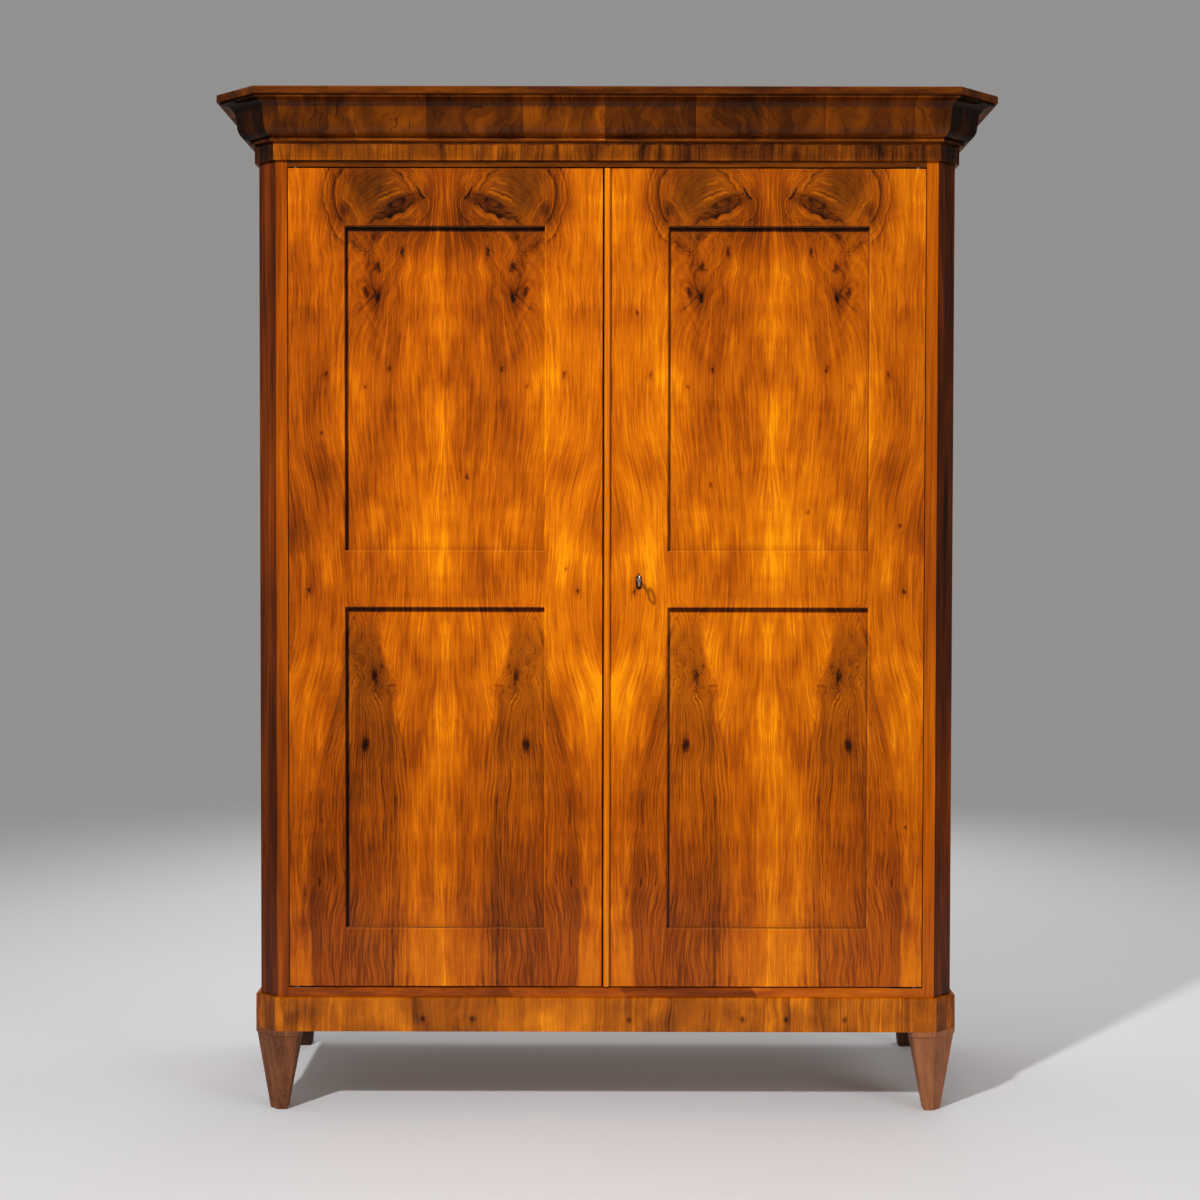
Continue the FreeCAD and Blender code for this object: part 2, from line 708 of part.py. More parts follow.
def pivot(level, direction):
    """Left-hand pivot at one edge of the door: the door's plate with its pin, and what it sits in."""
    x = S.pivot_inset - hinge_edge_x
    y = front_y + S.pivot_setback
    plate_start = S.pivot_plate_margin - hinge_edge_x
    plate_x = (plate_start, plate_start + S.pivot_plate_length)
    plate_y = (y - S.pivot_plate_width / 2, y + S.pivot_plate_width / 2)
    thickness = S.pivot_plate_thickness
    gap = S.door_gap
    collar = gap - S.sliding_clearance
    pin = gap + S.pivot_reach
    if direction > 0:
        plate_z = (level - thickness, level)
        socket_z = (level + gap, level + gap + thickness)
        pin_z, collar_z, hole_z = level, level, level + gap
    else:
        plate_z = (level, level + thickness)
        socket_z = (level - gap - thickness, level - gap)
        pin_z, collar_z, hole_z = level - pin, level - collar, level - pin
    hole = rod(S.pivot_diameter + S.running_clearance * 2, S.pivot_reach, x, y, hole_z)
    return SimpleNamespace(
        door_piece=fuse([
            box(plate_x, plate_y, plate_z),
            rod(S.pivot_diameter, pin, x, y, pin_z),
            rod(S.pivot_collar_diameter, collar, x, y, collar_z),
        ]),
        door_recess=box(plate_x, plate_y, plate_z),
        socket=cut(box(plate_x, plate_y, socket_z), [hole]),
        rail_recess=box(plate_x, plate_y, socket_z),
        rail_hole=hole,
    )


def bolt(level, direction):
    """A bolt on the back of the left meeting stile, its guides, and the hole that it shoots into."""
    middle = left_meeting_x - S.left_meeting_stile_width / 2
    half = S.bolt_width / 2
    play = S.sliding_clearance
    x_range = (middle - half, middle + half)
    y_range = (door_back_y + play, door_back_y + play + S.bolt_width)
    end = level - S.bolt_setback * direction
    tail = end - S.bolt_length * direction
    knob_z = tail + S.bolt_knob_height * direction
    low, high = (tail, end) if direction > 0 else (end, tail)
    bar = box(x_range, y_range, (low, high))
    knob = rod(S.bolt_knob_diameter, S.bolt_knob_length, middle, y_range[1], knob_z, axis=ALONG_Y)

    guides = []
    bridge_y = (door_back_y, y_range[1] + play + S.guide_wall)
    bridge_x = (middle - S.guide_width / 2, middle + S.guide_width / 2)
    for z in (low + S.guide_margin, high - S.guide_margin - S.guide_height):
        bridge = box(bridge_x, bridge_y, (z, z + S.guide_height))
        slot_y = (door_back_y - S.overrun, y_range[1] + play)
        slot_z = (z - S.overrun, z + S.guide_height + S.overrun)
        guides.append(cut(bridge, [box((middle - half - play, middle + half + play), slot_y, slot_z)]))

    reach = S.door_gap + S.bolt_travel
    hole_low, hole_high = (level, level + reach) if direction > 0 else (level - reach, level)
    hole = box(
        (middle - half - play, middle + half + play),
        (door_back_y, y_range[1] + play),
        (hole_low, hole_high),
    )
    return SimpleNamespace(piece=fuse([bar, knob]), guides=guides, hole=hole)


def build_pivots_and_bolts():
    """Pivot hinges, bolts, and the head rail and threshold that take them."""
    upper = pivot(door_top, 1)
    lower = pivot(door_bottom, -1)
    left = node("left_door_pivots", group([upper.door_piece, lower.door_piece]))
    node("right_door_pivots", twin(left))
    sockets = [upper.socket, lower.socket]
    node("pivot_sockets", group(sockets + [twin(socket) for socket in sockets]))

    top_bolt = bolt(door_top, 1)
    bottom_bolt = bolt(door_bottom, -1)
    node("left_top_bolt", top_bolt.piece)
    node("left_bottom_bolt", bottom_bolt.piece)
    node("bolt_guides", group(top_bolt.guides + bottom_bolt.guides))

    head = box((-opening_x, opening_x), (front_y, cross_rail_back_y), (head_rail_bottom, carcass_top))
    section, arcs = rounded_section(S.cross_rail_depth, S.threshold_height, S.cross_rail_edge_radius)
    sill = padded("YZ_Plane", section, opening_x * 2, arcs)
    place(sill, opening_x, cross_rail_back_y, plinth_top, turn=180)
    for label, rail, hinge, shot in (
        ("head_rail", head, upper, top_bolt),
        ("threshold_rail", sill, lower, bottom_bolt),
    ):
        sinkings = [hinge.rail_recess, hinge.rail_hole]
        node(label, cut(rail, sinkings + [twin(tool) for tool in sinkings] + [shot.hole]))
    return [upper.door_recess, lower.door_recess]


def keyhole(front, back):
    """A keyhole with its slot downwards, from one plane to another."""
    slot = S.keyhole_slot_width / 2
    reach = S.key_bit_radius + S.key_bit_thickness
    return [
        rod(S.keyhole_diameter, back - front, key_x, front, key_z, axis=ALONG_Y),
        box((key_x - slot, key_x + slot), (front, back), (key_z - reach, key_z)),
    ]


def key_bow(radius):
    """The ring of a key about the Z axis, of eight-sided bar."""
    half = S.key_bow_thickness / 2
    nib = half * MITRE_SHARE
    section = [
        (radius - half, -nib), (radius - nib, -half), (radius + nib, -half), (radius + half, -nib),
        (radius + half, nib), (radius + nib, half), (radius - nib, half), (radius - half, nib),
    ]
    body = doc.addObject("PartDesign::Body", "Bow")
    sketch = outline(body, "XZ_Plane", section)
    ring = body.newObject("PartDesign::Revolution", "Ring")
    ring.Profile = sketch
    ring.ReferenceAxis = (sketch, ["V_Axis"])
    ring.Angle = 360
    return body


def build_lock():
    """Lock let into the back of the right meeting stile: case, bolt, key and escutcheon."""
    wall = S.lock_wall
    play = S.sliding_clearance
    case_length = S.right_meeting_stile_width - S.tenon_length - S.lock_margin
    case_x = (lock_edge_x, lock_edge_x + case_length)
    case_y = (door_back_y - S.lock_case_depth, door_back_y)
    case_z = (key_z - S.lock_case_height / 2, key_z + S.lock_case_height / 2)
    recess = box(case_x, case_y, case_z)
    cavity = box(*((low + wall, high - wall) for low, high in (case_x, case_y, case_z)))

    bolt_y = (door_back_y - (S.lock_case_depth + S.lock_bolt_thickness) / 2,
              door_back_y - (S.lock_case_depth - S.lock_bolt_thickness) / 2)
    bolt_z = (key_z + S.lock_bolt_rise, key_z + S.lock_bolt_rise + S.lock_bolt_height)
    slot_y = (bolt_y[0] - play, bolt_y[1] + play)
    slot_z = (bolt_z[0] - play, bolt_z[1] + play)
    slot = box((bead_x - S.overrun, case_x[0] + wall), slot_y, slot_z)
    strike = box((left_meeting_x - S.strike_depth, left_meeting_x + S.overrun), slot_y, slot_z)

    shaft_fit = S.key_shaft_diameter + S.running_clearance * 2
    shaft_hole = rod(shaft_fit, wall, key_x, case_y[0], key_z, axis=ALONG_Y)
    bit_slot = keyhole(case_y[0], case_y[0] + wall)[1]
    node("lock_case", cut(recess, [cavity, slot, shaft_hole, bit_slot]))

    bolt_x = (bead_x + S.lock_bolt_setback, case_x[1] - wall - play)
    talon_middle = key_x + S.lock_bolt_travel / 2
    talon = box(
        (talon_middle - S.talon_width / 2, talon_middle + S.talon_width / 2),
        (bolt_y[0] - S.overrun, bolt_y[1] + S.overrun),
        (bolt_z[0] - S.overrun, bolt_z[0] + S.talon_height),
    )
    node("lock_bolt", cut(box(bolt_x, bolt_y, bolt_z), [talon]))

    bow_radius = (S.key_bow_diameter - S.key_bow_thickness) / 2
    bow_y = front_y - S.key_reach + S.key_bow_diameter / 2
    bow = place(key_bow(bow_radius), key_x, bow_y, key_z, turn=90, axis=ALONG_Y)
    shaft_y = bow_y + bow_radius
    tip_y = door_back_y - wall - play
    bit_y = (bolt_y[0] + bolt_y[1] - S.key_bit_width) / 2
    half_bit = S.key_bit_thickness / 2
    bit_x = (key_x - half_bit, key_x + half_bit)
    bit_low = key_z - S.key_bit_radius
    ward_y = bit_y + (S.key_bit_width - S.key_ward_width) / 2
    ward = box(bit_x, (ward_y, ward_y + S.key_ward_width), (bit_low - S.overrun, bit_low + S.key_ward_depth))
    key = fuse([
        bow,
        rod(S.key_shaft_diameter, tip_y - shaft_y, key_x, shaft_y, key_z, axis=ALONG_Y),
        rod(S.key_collar_diameter, S.key_collar_length, key_x, shaft_y, key_z, axis=ALONG_Y),
        cut(box(bit_x, (bit_y, bit_y + S.key_bit_width), (bit_low, key_z)), [ward]),
    ])
    node("key", key)

    radius = S.escutcheon_width / 2
    plate_front = front_y - S.escutcheon_thickness
    plate_z = key_z - S.escutcheon_drop
    low_z = plate_z - S.escutcheon_height / 2 + radius
    high_z = plate_z + S.escutcheon_height / 2 - radius
    plate = fuse([
        box((key_x - radius, key_x + radius), (plate_front, front_y), (low_z, high_z)),
        rod(S.escutcheon_width, S.escutcheon_thickness, key_x, plate_front, low_z, axis=ALONG_Y),
        rod(S.escutcheon_width, S.escutcheon_thickness, key_x, plate_front, high_z, axis=ALONG_Y),
    ])
    node("escutcheon", cut(plate, keyhole(plate_front, front_y)))

    bead = bead_strip()
    node("astragal_bead", cut(bead, [slot]))
    return SimpleNamespace(stile_cuts=[recess] + keyhole(front_y, case_y[0]), strike=strike)


def bead_strip():
    """The half-round bead on the right door's meeting edge, as deep as the door."""
    radius = S.bead_width / 2
    straight = S.door_thickness + S.bead_projection - radius
    nose = (radius, straight + radius)
    section = [(0, 0), (S.bead_width, 0), (S.bead_width, straight), nose, (0, straight)]
    strip = padded("XY_Plane", section, S.door_height, {2: (radius, -1), 3: (radius, -1)})
    return place(strip, lock_edge_x, door_back_y, door_bottom, turn=180)


def rail_stock(length, height, eased_below, eased_above):
    """Door rail stock: a plank whose front arrises are rounded where a panel meets them."""
    depth = S.door_thickness
    radius = S.rail_edge_radius
    points, arcs = [(0, 0)], {}
    if eased_below:
        arcs[len(points)] = (radius, -1)
        points += [(depth - radius, 0), (depth, radius)]
    else:
        points.append((depth, 0))
    if eased_above:
        arcs[len(points)] = (radius, -1)
        points += [(depth, height - radius), (depth - radius, height)]
    else:
        points.append((depth, height))
    return padded("YZ_Plane", points + [(0, height)], length, arcs)


def build_door(side, left_edge, stiles, stile_cuts):
    """A framed door: two stiles, three tenoned rails and two flat panels in grooves."""
    groove_front = front_y + S.panel_recess
    groove_y = (groove_front, groove_front + S.panel_thickness)
    door_y = (front_y, door_back_y)
    depth = S.panel_groove_depth
    past_z = (door_bottom - S.overrun, door_top + S.overrun)
    rails = (
        ("bottom_rail", door_bottom, door_bottom + S.bottom_rail_width),
        ("middle_rail", middle_rail_bottom, middle_rail_top),
        ("top_rail", door_top - S.top_rail_width, door_top),
    )
    (left_name, left_width), (right_name, right_width), panel_width = stiles
    panel_x = (left_edge + left_width, left_edge + left_width + panel_width)
    tenon_x = (panel_x[0] - S.tenon_length, panel_x[1] + S.tenon_length)
    haunch_x = (panel_x[0] - depth, panel_x[1] + depth)

    for name, stile_x, groove_x, mortise_x in (
        (left_name, (left_edge, panel_x[0]), (haunch_x[0], panel_x[0] + S.overrun), (tenon_x[0], panel_x[0])),
        (right_name, (panel_x[1], panel_x[1] + right_width), (panel_x[1] - S.overrun, haunch_x[1]),
         (panel_x[1], tenon_x[1])),
    ):
        tools = [box(groove_x, groove_y, past_z)]
        for _, low, high in rails:
            tools.append(box(mortise_x, groove_y, (low + S.tenon_shoulder, high - S.tenon_shoulder)))
        stile = box(stile_x, door_y, (door_bottom, door_top))
        node(f"{side}_{name}", cut(stile, tools + stile_cuts.get(name, [])))

    past_x = (tenon_x[0] - S.overrun, tenon_x[1] + S.overrun)
    for name, low, high in rails:
        bar = rail_stock(panel_width, high - low, name != "bottom_rail", name != "top_rail")
        rail = fuse([
            place(bar, panel_x[1], door_back_y, low, turn=180),
            box(haunch_x, groove_y, (low, high)),
            box(tenon_x, groove_y, (low + S.tenon_shoulder, high - S.tenon_shoulder)),
        ])
        grooves = []
        if name != "bottom_rail":
            grooves.append(box(past_x, groove_y, (low - S.overrun, low + depth)))
        if name != "top_rail":
            grooves.append(box(past_x, groove_y, (high - depth, high + S.overrun)))
        node(f"{side}_{name}", cut(rail, grooves))

    tuck = depth - S.panel_play
    for name, lower, upper in (("lower_panel", rails[0], rails[1]), ("upper_panel", rails[1], rails[2])):
        panel_z = (lower[2] - tuck, upper[1] + tuck)
        node(f"{side}_{name}", box((panel_x[0] - tuck, panel_x[1] + tuck), groove_y, panel_z))


def build_doors(hinge_cuts, lock):
    """Both doors. The right one carries the bead and the lock, so its frame is the wider one."""
    hinge = ("hinge_stile", S.hinge_stile_width)
    left_meeting = ("meeting_stile", S.left_meeting_stile_width)
    right_meeting = ("meeting_stile", S.right_meeting_stile_width)
    left_panel = S.left_door_width - S.hinge_stile_width - S.left_meeting_stile_width
    right_panel = hinge_edge_x - lock_edge_x - S.hinge_stile_width - S.right_meeting_stile_width
    build_door(
        "left", -hinge_edge_x, (hinge, left_meeting, left_panel),
        {"hinge_stile": hinge_cuts, "meeting_stile": [lock.strike]},
    )
    build_door(
        "right", lock_edge_x, (right_meeting, hinge, right_panel),
        {"hinge_stile": [twin(tool) for tool in hinge_cuts], "meeting_stile": lock.stile_cuts},
    )


def check_and_export():
    """Stop on anything that failed; otherwise write one STEP file for each named piece."""
    doc.recompute()
    failed = [thing.Label for thing in doc.Objects if {"Invalid", "Error"} & set(thing.State)]
    if failed:
        raise SystemExit(f"failed to build: {failed}")
    for piece in nodes:
        if piece.Shape.isNull() or not piece.Shape.isValid() or not piece.Shape.Solids:
            raise SystemExit(f"bad shape: {piece.Label}")
    os.makedirs("parts", exist_ok=True)
    for piece in nodes:
        piece.Shape.exportStep(f"parts/{piece.Label}.step")
    print(f"{len(nodes)} pieces, {sum(len(piece.Shape.Solids) for piece in nodes)} solids")


build_base()
build_posts()
build_sides()
build_back()
build_shelves()
build_crown()
door_recesses = build_pivots_and_bolts()
build_doors(door_recesses, build_lock())
check_and_export()
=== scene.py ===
# %% [markdown]
# # A walnut linen cabinet
# The cabinet comes as a imported CAD model: sixty named pieces, already in place, in metres, with the front
# facing -Y. Moving or remeshing them would break their fit, so this script leaves their shapes alone and
# gives them what CAD lacks: wood figure, polish, metal, light, and the smallest round pieces.

# %% Load the cabinet
import math

import bpy
import numpy as np
from mathutils import Matrix, Vector


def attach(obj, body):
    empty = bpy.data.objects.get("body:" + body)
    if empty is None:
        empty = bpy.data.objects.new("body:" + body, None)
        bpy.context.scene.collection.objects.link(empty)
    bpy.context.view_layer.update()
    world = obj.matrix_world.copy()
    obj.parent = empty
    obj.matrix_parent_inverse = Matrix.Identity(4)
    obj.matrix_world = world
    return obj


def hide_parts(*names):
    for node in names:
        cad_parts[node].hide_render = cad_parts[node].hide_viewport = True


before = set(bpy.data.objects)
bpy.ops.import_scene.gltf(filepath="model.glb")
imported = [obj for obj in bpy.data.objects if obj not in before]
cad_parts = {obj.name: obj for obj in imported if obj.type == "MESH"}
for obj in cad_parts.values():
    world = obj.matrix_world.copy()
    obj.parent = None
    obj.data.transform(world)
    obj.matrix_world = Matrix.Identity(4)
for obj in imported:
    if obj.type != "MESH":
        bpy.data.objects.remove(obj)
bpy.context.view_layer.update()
scene = bpy.context.scene

# %% [markdown]
# ## The camera
# A tall cabinet is photographed from far off with a long lens, at about half its height, so that its sides
# stay upright. The lens and the place were found by fitting the corners of the doors, the plinth and the
# cap. The camera tips down by a degree and a half, which a matrix of three small turns says more plainly
# than angles would.

# %% Camera
EYE = Vector((-0.0078, -4.170, 1.1067))
TIP_DOWN, YAW, ROLL = 0.0263, 0.0011, 0.0017
LENS_MM, SENSOR_MM = 60.6, 36.0

camera = bpy.data.objects.new("camera", bpy.data.cameras.new("camera"))
camera.data.lens, camera.data.sensor_width = LENS_MM, SENSOR_MM
tip = Matrix.Rotation(math.pi / 2 - TIP_DOWN, 4, "X")
turn = Matrix.Rotation(YAW, 4, "Z") @ tip @ Matrix.Rotation(ROLL, 4, "Z")
camera.matrix_world = Matrix.Translation(EYE) @ turn
scene.collection.objects.link(camera)
scene.camera = camera
scene.view_settings.view_transform = "Standard"
print("camera", round(EYE.length, 2), "m from the origin")

# %% [markdown]
# ## Soft studio light
# Polished wood mirrors its lamps, so they stand where the doors don't reflect them into the lens: a smaller
# one high on the left, a little narrowed so that it fades to the sides, which draws the shadow of the key
# and of each left stile; a wide, weak one on the right; one above for the mouldings; and one behind for the
# back boards. A grey world fills the rest. Together they light a front face so that a colour renders about
# as it is written.

# %% Lamps and world
LAMPS = [
    ("lamp_left", (-1.8, -3.65, 3.5), (0, -0.2, 1.05), 0.2, 38, 84),
    ("lamp_right", (3.2, -3.6, 2.4), (0, 0, 1.0), 1.8, 38, 180),
    ("lamp_above", (0.2, 0.6, 4.6), (0, 0, 0.5), 2.4, 60, 180),
    ("lamp_behind", (0.5, 4.5, 1.9), (0, 0.3, 1.0), 1.6, 33, 180),
]
WORLD_GREY = (0.29, 0.285, 0.28, 1)


def soft_lamp(name, place, target, size, watts, spread):
    """A square lamp at one point, turned so that its face looks at another; spread is its beam in degrees."""
    lamp = bpy.data.objects.new(name, bpy.data.lights.new(name, "AREA"))
    lamp.data.size, lamp.data.energy, lamp.data.spread = size, watts, math.radians(spread)
    lamp.location = place
    lamp.rotation_euler = (Vector(target) - Vector(place)).to_track_quat("-Z", "Y").to_euler()
    scene.collection.objects.link(lamp)


for lamp in LAMPS:
    soft_lamp(*lamp)

world = bpy.data.worlds.new("studio")
world.use_nodes = True
world.node_tree.nodes["Background"].inputs["Color"].default_value = WORLD_GREY
scene.world = world
print("lamps", [lamp[0] for lamp in LAMPS])

# %% [markdown]
# ## Shader maths as Python
# Wood figure is a formula, and a formula is easier to read as an expression than as a picture of boxes.
# This small class wraps one socket of a node tree: adding or multiplying wires adds the Math nodes, and one
# method adds any other node.

# %% Wires


class Wire:
    """One socket of a node tree; sums and products with numbers or other wires add Math nodes."""

    def __init__(self, tree, socket):
        self.tree, self.socket = tree, socket

    def node(self, kind, settings=None, inputs=None, output=0):
        """Add one node: settings first, then the values or wires of its sockets; return one output."""
        made = self.tree.nodes.new("ShaderNode" + kind)
        for name, value in (settings or {}).items():
            if name == "stops":
                ramp = made.color_ramp.elements
                while len(ramp) < len(value):
                    ramp.new(0.5)
                for stop, (place, colour) in zip(ramp, value):
                    stop.position, stop.color = place, (*colour, 1)
            else:
                setattr(made, name, value)
        for name, value in (inputs or {}).items():
            if isinstance(value, Wire):
                self.tree.links.new(value.socket, made.inputs[name])
            else:
                made.inputs[name].default_value = value
        return Wire(self.tree, made.outputs[output])

    def maths(self, operation, *values):
        """A Math node on these values, in order."""
        return self.node("Math", {"operation": operation}, dict(enumerate(values)))

    def __add__(self, other):
        return self.maths("ADD", self, other)

    def __sub__(self, other):
        return self.maths("SUBTRACT", self, other)

    def __rsub__(self, other):
        return self.maths("SUBTRACT", other, self)

    def __mul__(self, other):
        return self.maths("MULTIPLY", self, other)

    def __truediv__(self, other):
        return self.maths("DIVIDE", self, other)

    def __rtruediv__(self, other):
        return self.maths("DIVIDE", other, self)

    __radd__, __rmul__ = __add__, __mul__

    def __abs__(self):
        return self.maths("ABSOLUTE", self)

    def root(self):
        return self.maths("SQRT", self)

    def split(self):
        """The three numbers of a vector."""
        parts = self.node("SeparateXYZ", inputs={0: self}).socket.node.outputs
        return [Wire(self.tree, part) for part in parts]

    def fade(self, low, high):
        """Nought before low, one after high, smooth between; low above high turns it round."""
        limits = {"Value": self, "From Min": low, "From Max": high}
        return self.node("MapRange", {"interpolation_type": "SMOOTHSTEP"}, limits)

    def span(self, start, full, hold, end):
        """Nought before start, one from full to hold, nought after end."""
        return self.fade(start, full) * self.fade(end, hold)

    def peak(self, centre, width):
        """A bell: one at the centre, falling as e to the minus square of the distance over the width."""
        away = (self - centre) / width
        return self.maths("EXPONENT", away * away * -1)

    def blend(self, low, high):
        """Low where this is nought, high where it is one; for numbers."""
        return low + (high - low) * self

    def tint(self, low, high):
        """The same for two colours."""
        return self.node("Mix", {"data_type": "RGBA"}, {0: self, 6: low, 7: high}, output=2)

    def ramp(self, stops):
        """The colour that stands at this value among the stops."""
        return self.node("ValToRGB", {"stops": stops}, {0: self})


def point(x, y, z):
    """A vector of three numbers, of which at least one is a wire."""
    wire = next(v for v in (x, y, z) if isinstance(v, Wire))
    return wire.node("CombineXYZ", inputs={0: x, 1: y, 2: z})


def noise(place, detail=2.0, rough=0.5, distort=0.0):
    """Soft noise about nought, mostly within a half each way, with one wave to each unit of the place."""
    inputs = {"Vector": place, "Scale": 1.0, "Detail": detail, "Roughness": rough, "Distortion": distort}
    return place.node("TexNoise", {"noise_dimensions": "3D"}, inputs) * 2 - 1


print("wires ready")

# %% [markdown]
# ## One polish for every wood
# The whole cabinet is finished with many thin rubbed coats of shellac: clear, warm and glossy, but not
# quite even. A finish function takes the wood's tone (0 dark to 1 pale), its height for the bump and its
# roughness, and lays the same clear coat over them. Tones become colour on a ramp, so that all figure stays
# in one family of browns; a second ramp, greener in the dark, is for burl and curly wood.

# %% Polished wood
WALNUT = [
    (0.00, (0.010, 0.0020, 0.0005)),
    (0.20, (0.080, 0.0130, 0.0005)),
    (0.40, (0.220, 0.0370, 0.0005)),
    (0.60, (0.430, 0.0830, 0.0005)),
    (0.80, (0.660, 0.1600, 0.0005)),
    (1.00, (0.960, 0.3150, 0.0010)),
]
OLIVE = [
    (0.00, (0.010, 0.0026, 0.0007)),
    (0.20, (0.070, 0.0150, 0.0010)),
    (0.40, (0.190, 0.0420, 0.0010)),
    (0.60, (0.390, 0.0920, 0.0015)),
    (0.80, (0.630, 0.1680, 0.0020)),
    (1.00, (0.920, 0.3050, 0.0030)),
]
PLAIN = [(0.1, (0.050, 0.016, 0.005)), (0.5, (0.185, 0.064, 0.020)), (0.9, (0.360, 0.145, 0.050))]
POLISH, POLISH_ROUGH, BARE_COAT, BARE_ROUGH = 0.28, 0.08, 0.04, 0.22
VENEER_RELIEF = 0.0003


def new_finish(name):
    """An empty material with its shader, and the wires of Object coordinates and of the Object normal."""
    made = bpy.data.materials.new(name)
    made.use_nodes = True
    tree = made.node_tree
    coordinates = tree.nodes.new("ShaderNodeTexCoord")
    return made, Wire(tree, coordinates.outputs["Object"]), Wire(tree, coordinates.outputs["Normal"])


def lay(made, colour, rough, height, relief, coat=POLISH, coat_rough=POLISH_ROUGH, specular=0.0, metal=0.0):
    """Connect colour, roughness and bump height to the material's shader, and set its constants."""
    shader = made.node_tree.nodes["Principled BSDF"]
    bump = height.node("Bump", inputs={"Strength": 1.0, "Distance": relief, "Height": height})
    values = {"Base Color": colour, "Roughness": rough, "Normal": bump, "Coat Weight": coat}
    values |= {"Coat Roughness": coat_rough, "Specular IOR Level": specular, "Metallic": metal}
    for socket, value in values.items():
        if isinstance(value, Wire):
            made.node_tree.links.new(value.socket, shader.inputs[socket])
        else:
            shader.inputs[socket].default_value = value
    return made


def plain_wood(x, y, z):
    """Colour of upright plain walnut, for faces that are seen only when the doors are open."""
    streaks = noise(point(x * 60, y * 60, z * 2.2), detail=3)
    fibres = noise(point(x * 400, y * 400, z * 9))
    return (0.5 + streaks * 0.34 + fibres * 0.18).ramp(PLAIN)


def inner_faces(x, normal):
    """One on faces that look to the cabinet's middle or to the wall, nought elsewhere."""
    return (normal[0] * x.maths("SIGN", x) * -1).fade(0.6, 0.8) + normal[1].fade(0.6, 0.8)


def dress(names, finish):
    """Put one finish on the material slots of these CAD pieces."""
    for name in names:
        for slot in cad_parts[name].material_slots:
            slot.material = finish
    print(finish.name, "on", len(names), "pieces")


print(len(WALNUT), "browns on each ramp")

# %% [markdown]
# ## The doors' book-matched veneer
# Each door carries one picture: two leaves of walnut cut next to each other in the log and opened like a
# book, so that everything mirrors at the door's middle line. The leaves come from a fork of the tree. At
# the top the grain flows round two burl eyes; below, a darker flame of heartwood widens to the floor. The
# picture runs across panel, rails and stiles. A painted map would need a picture file, so the figure is a
# formula. Its marks are bells, strokes and lines on a map of the leaf, whose axes are the distance from the
# seam and the height, both stirred a little.

# %% Door leaf: where on the leaf
SEAM, MIDDLE = 0.315, 0.001
UNREST = [((0.14, 1.70), 0.11, 0.75, 1.0), ((0.17, 0.91), 0.05, 0.8, 0.6)]


def dot(across, up, centre, radius, flat):
    """A bell round a point, longer up the grain where flat is below one: e to the minus squared distance."""
    du, dz = (across - centre[0]) / radius, (up - centre[1]) * (flat / radius)
    off = du * du + dz * dz
    return off.maths("EXPONENT", off * -1)


def dots(across, up, rows):
    """Bells round points, added up; a row gives the point, radius, flatness and strength of each."""
    return sum(dot(across, up, centre, radius, flat) * strength for centre, radius, flat, strength in rows)


def bells(wire, rows):
    """Bells over one coordinate, added up; a row gives the centre, the width and the strength of each."""
    return sum(wire.peak(centre, width) * strength for centre, width, strength in rows)


def stroke(across, up, start, end, width):
    """A soft line: one on the stretch between two points, nought a width away from it."""
    run, rise = end[0] - start[0], end[1] - start[1]
    du, dz = across - start[0], up - start[1]
    along = (du * run + dz * rise) / (run**2 + rise**2)
    share = along.node("Clamp", inputs={0: along})
    off_u, off_z = du - share * run, dz - share * rise
    return (off_u * off_u + off_z * off_z).root().fade(width, 0)


def strokes(across, up, rows):
    """Soft lines, added up; a row gives the start, the end and the width of each."""
    return sum(stroke(across, up, *row) for row in rows)


def leaf(place):
    """Place on the doors and on the leaf: x, height, distance outward from the doors' middle, signed
    distance from the seam, and the distance and height that the grain follows, stirred by noise."""
    x, _, z = place.split()
    outward = abs(x - MIDDLE)
    signed = outward - SEAM
    side = abs(signed)
    unrest = dots(side, z, UNREST)
    slow = noise(point(side * 9, 3.1, z * 4), detail=2) * 0.014 + noise(point(x * 3, 7.7, z * 2.2)) * 0.008
    quick = noise(point(side * 24, 5.1, z * 22), detail=3) * 0.020
    across = side + slow + quick * unrest
    up = z + noise(point(side * 21, 9.4, z * 19), detail=3) * (0.004 + unrest * 0.020)
    return x, z, outward, signed, across, up


print("leaf helpers ready")

# %% [markdown]
# A plane that cuts a log shows its growth rings as the contour lines of a hilly map. Straight wood is an
# even slope; a knot is a hill on that slope, and its contours bend round it. So the ring field is the
# distance from the seam plus some bells: a wide one for the eye, a long one for the wood it drags below it,
# and small ones for knots. Near the middle of the door the rings draw together towards the seam. On the
# wood, a knot is a ragged dark core in a soft shade. Knots that mirror are given by their place on the
# leaf, the others by their place on the doors.

# %% Door leaf: rings and knots
UPPER_KNOTS = [((0.082, 1.679), 0.006), ((0.126, 1.644), 0.007)]
UPPER_KNOTS += [((0.154, 1.598), 0.007), ((0.132, 1.588), 0.005)]
LOWER_KNOTS = [((0.139, 0.855), 0.007), ((0.156, 0.720), 0.008)]
PIN_KNOTS = [((0.229, 1.441), 0.0035), ((0.110, 1.451), 0.0035)]
PIN_KNOTS += [((0.160, 1.418), 0.002), ((0.262, 1.020), 0.003)]
LONE_KNOTS = [
    ((-0.553, 1.327), 0.003),
    ((-0.271, 1.244), 0.004),
    ((0.203, 1.228), 0.003),
    ((0.392, 1.176), 0.0025),
    ((0.570, 1.150), 0.003),
    ((0.060, 1.560), 0.003),
    ((-0.080, 1.062), 0.0025),
    ((0.585, 0.560), 0.003),
]
HILLS = [((0.118, 1.782), 0.072, 1.0, 0.078), ((0.138, 1.640), 0.044, 0.36, 0.046)]
HILLS += [(centre, radius * 2.2, 0.7, radius * 2.0) for centre, radius in UPPER_KNOTS + LOWER_KNOTS]


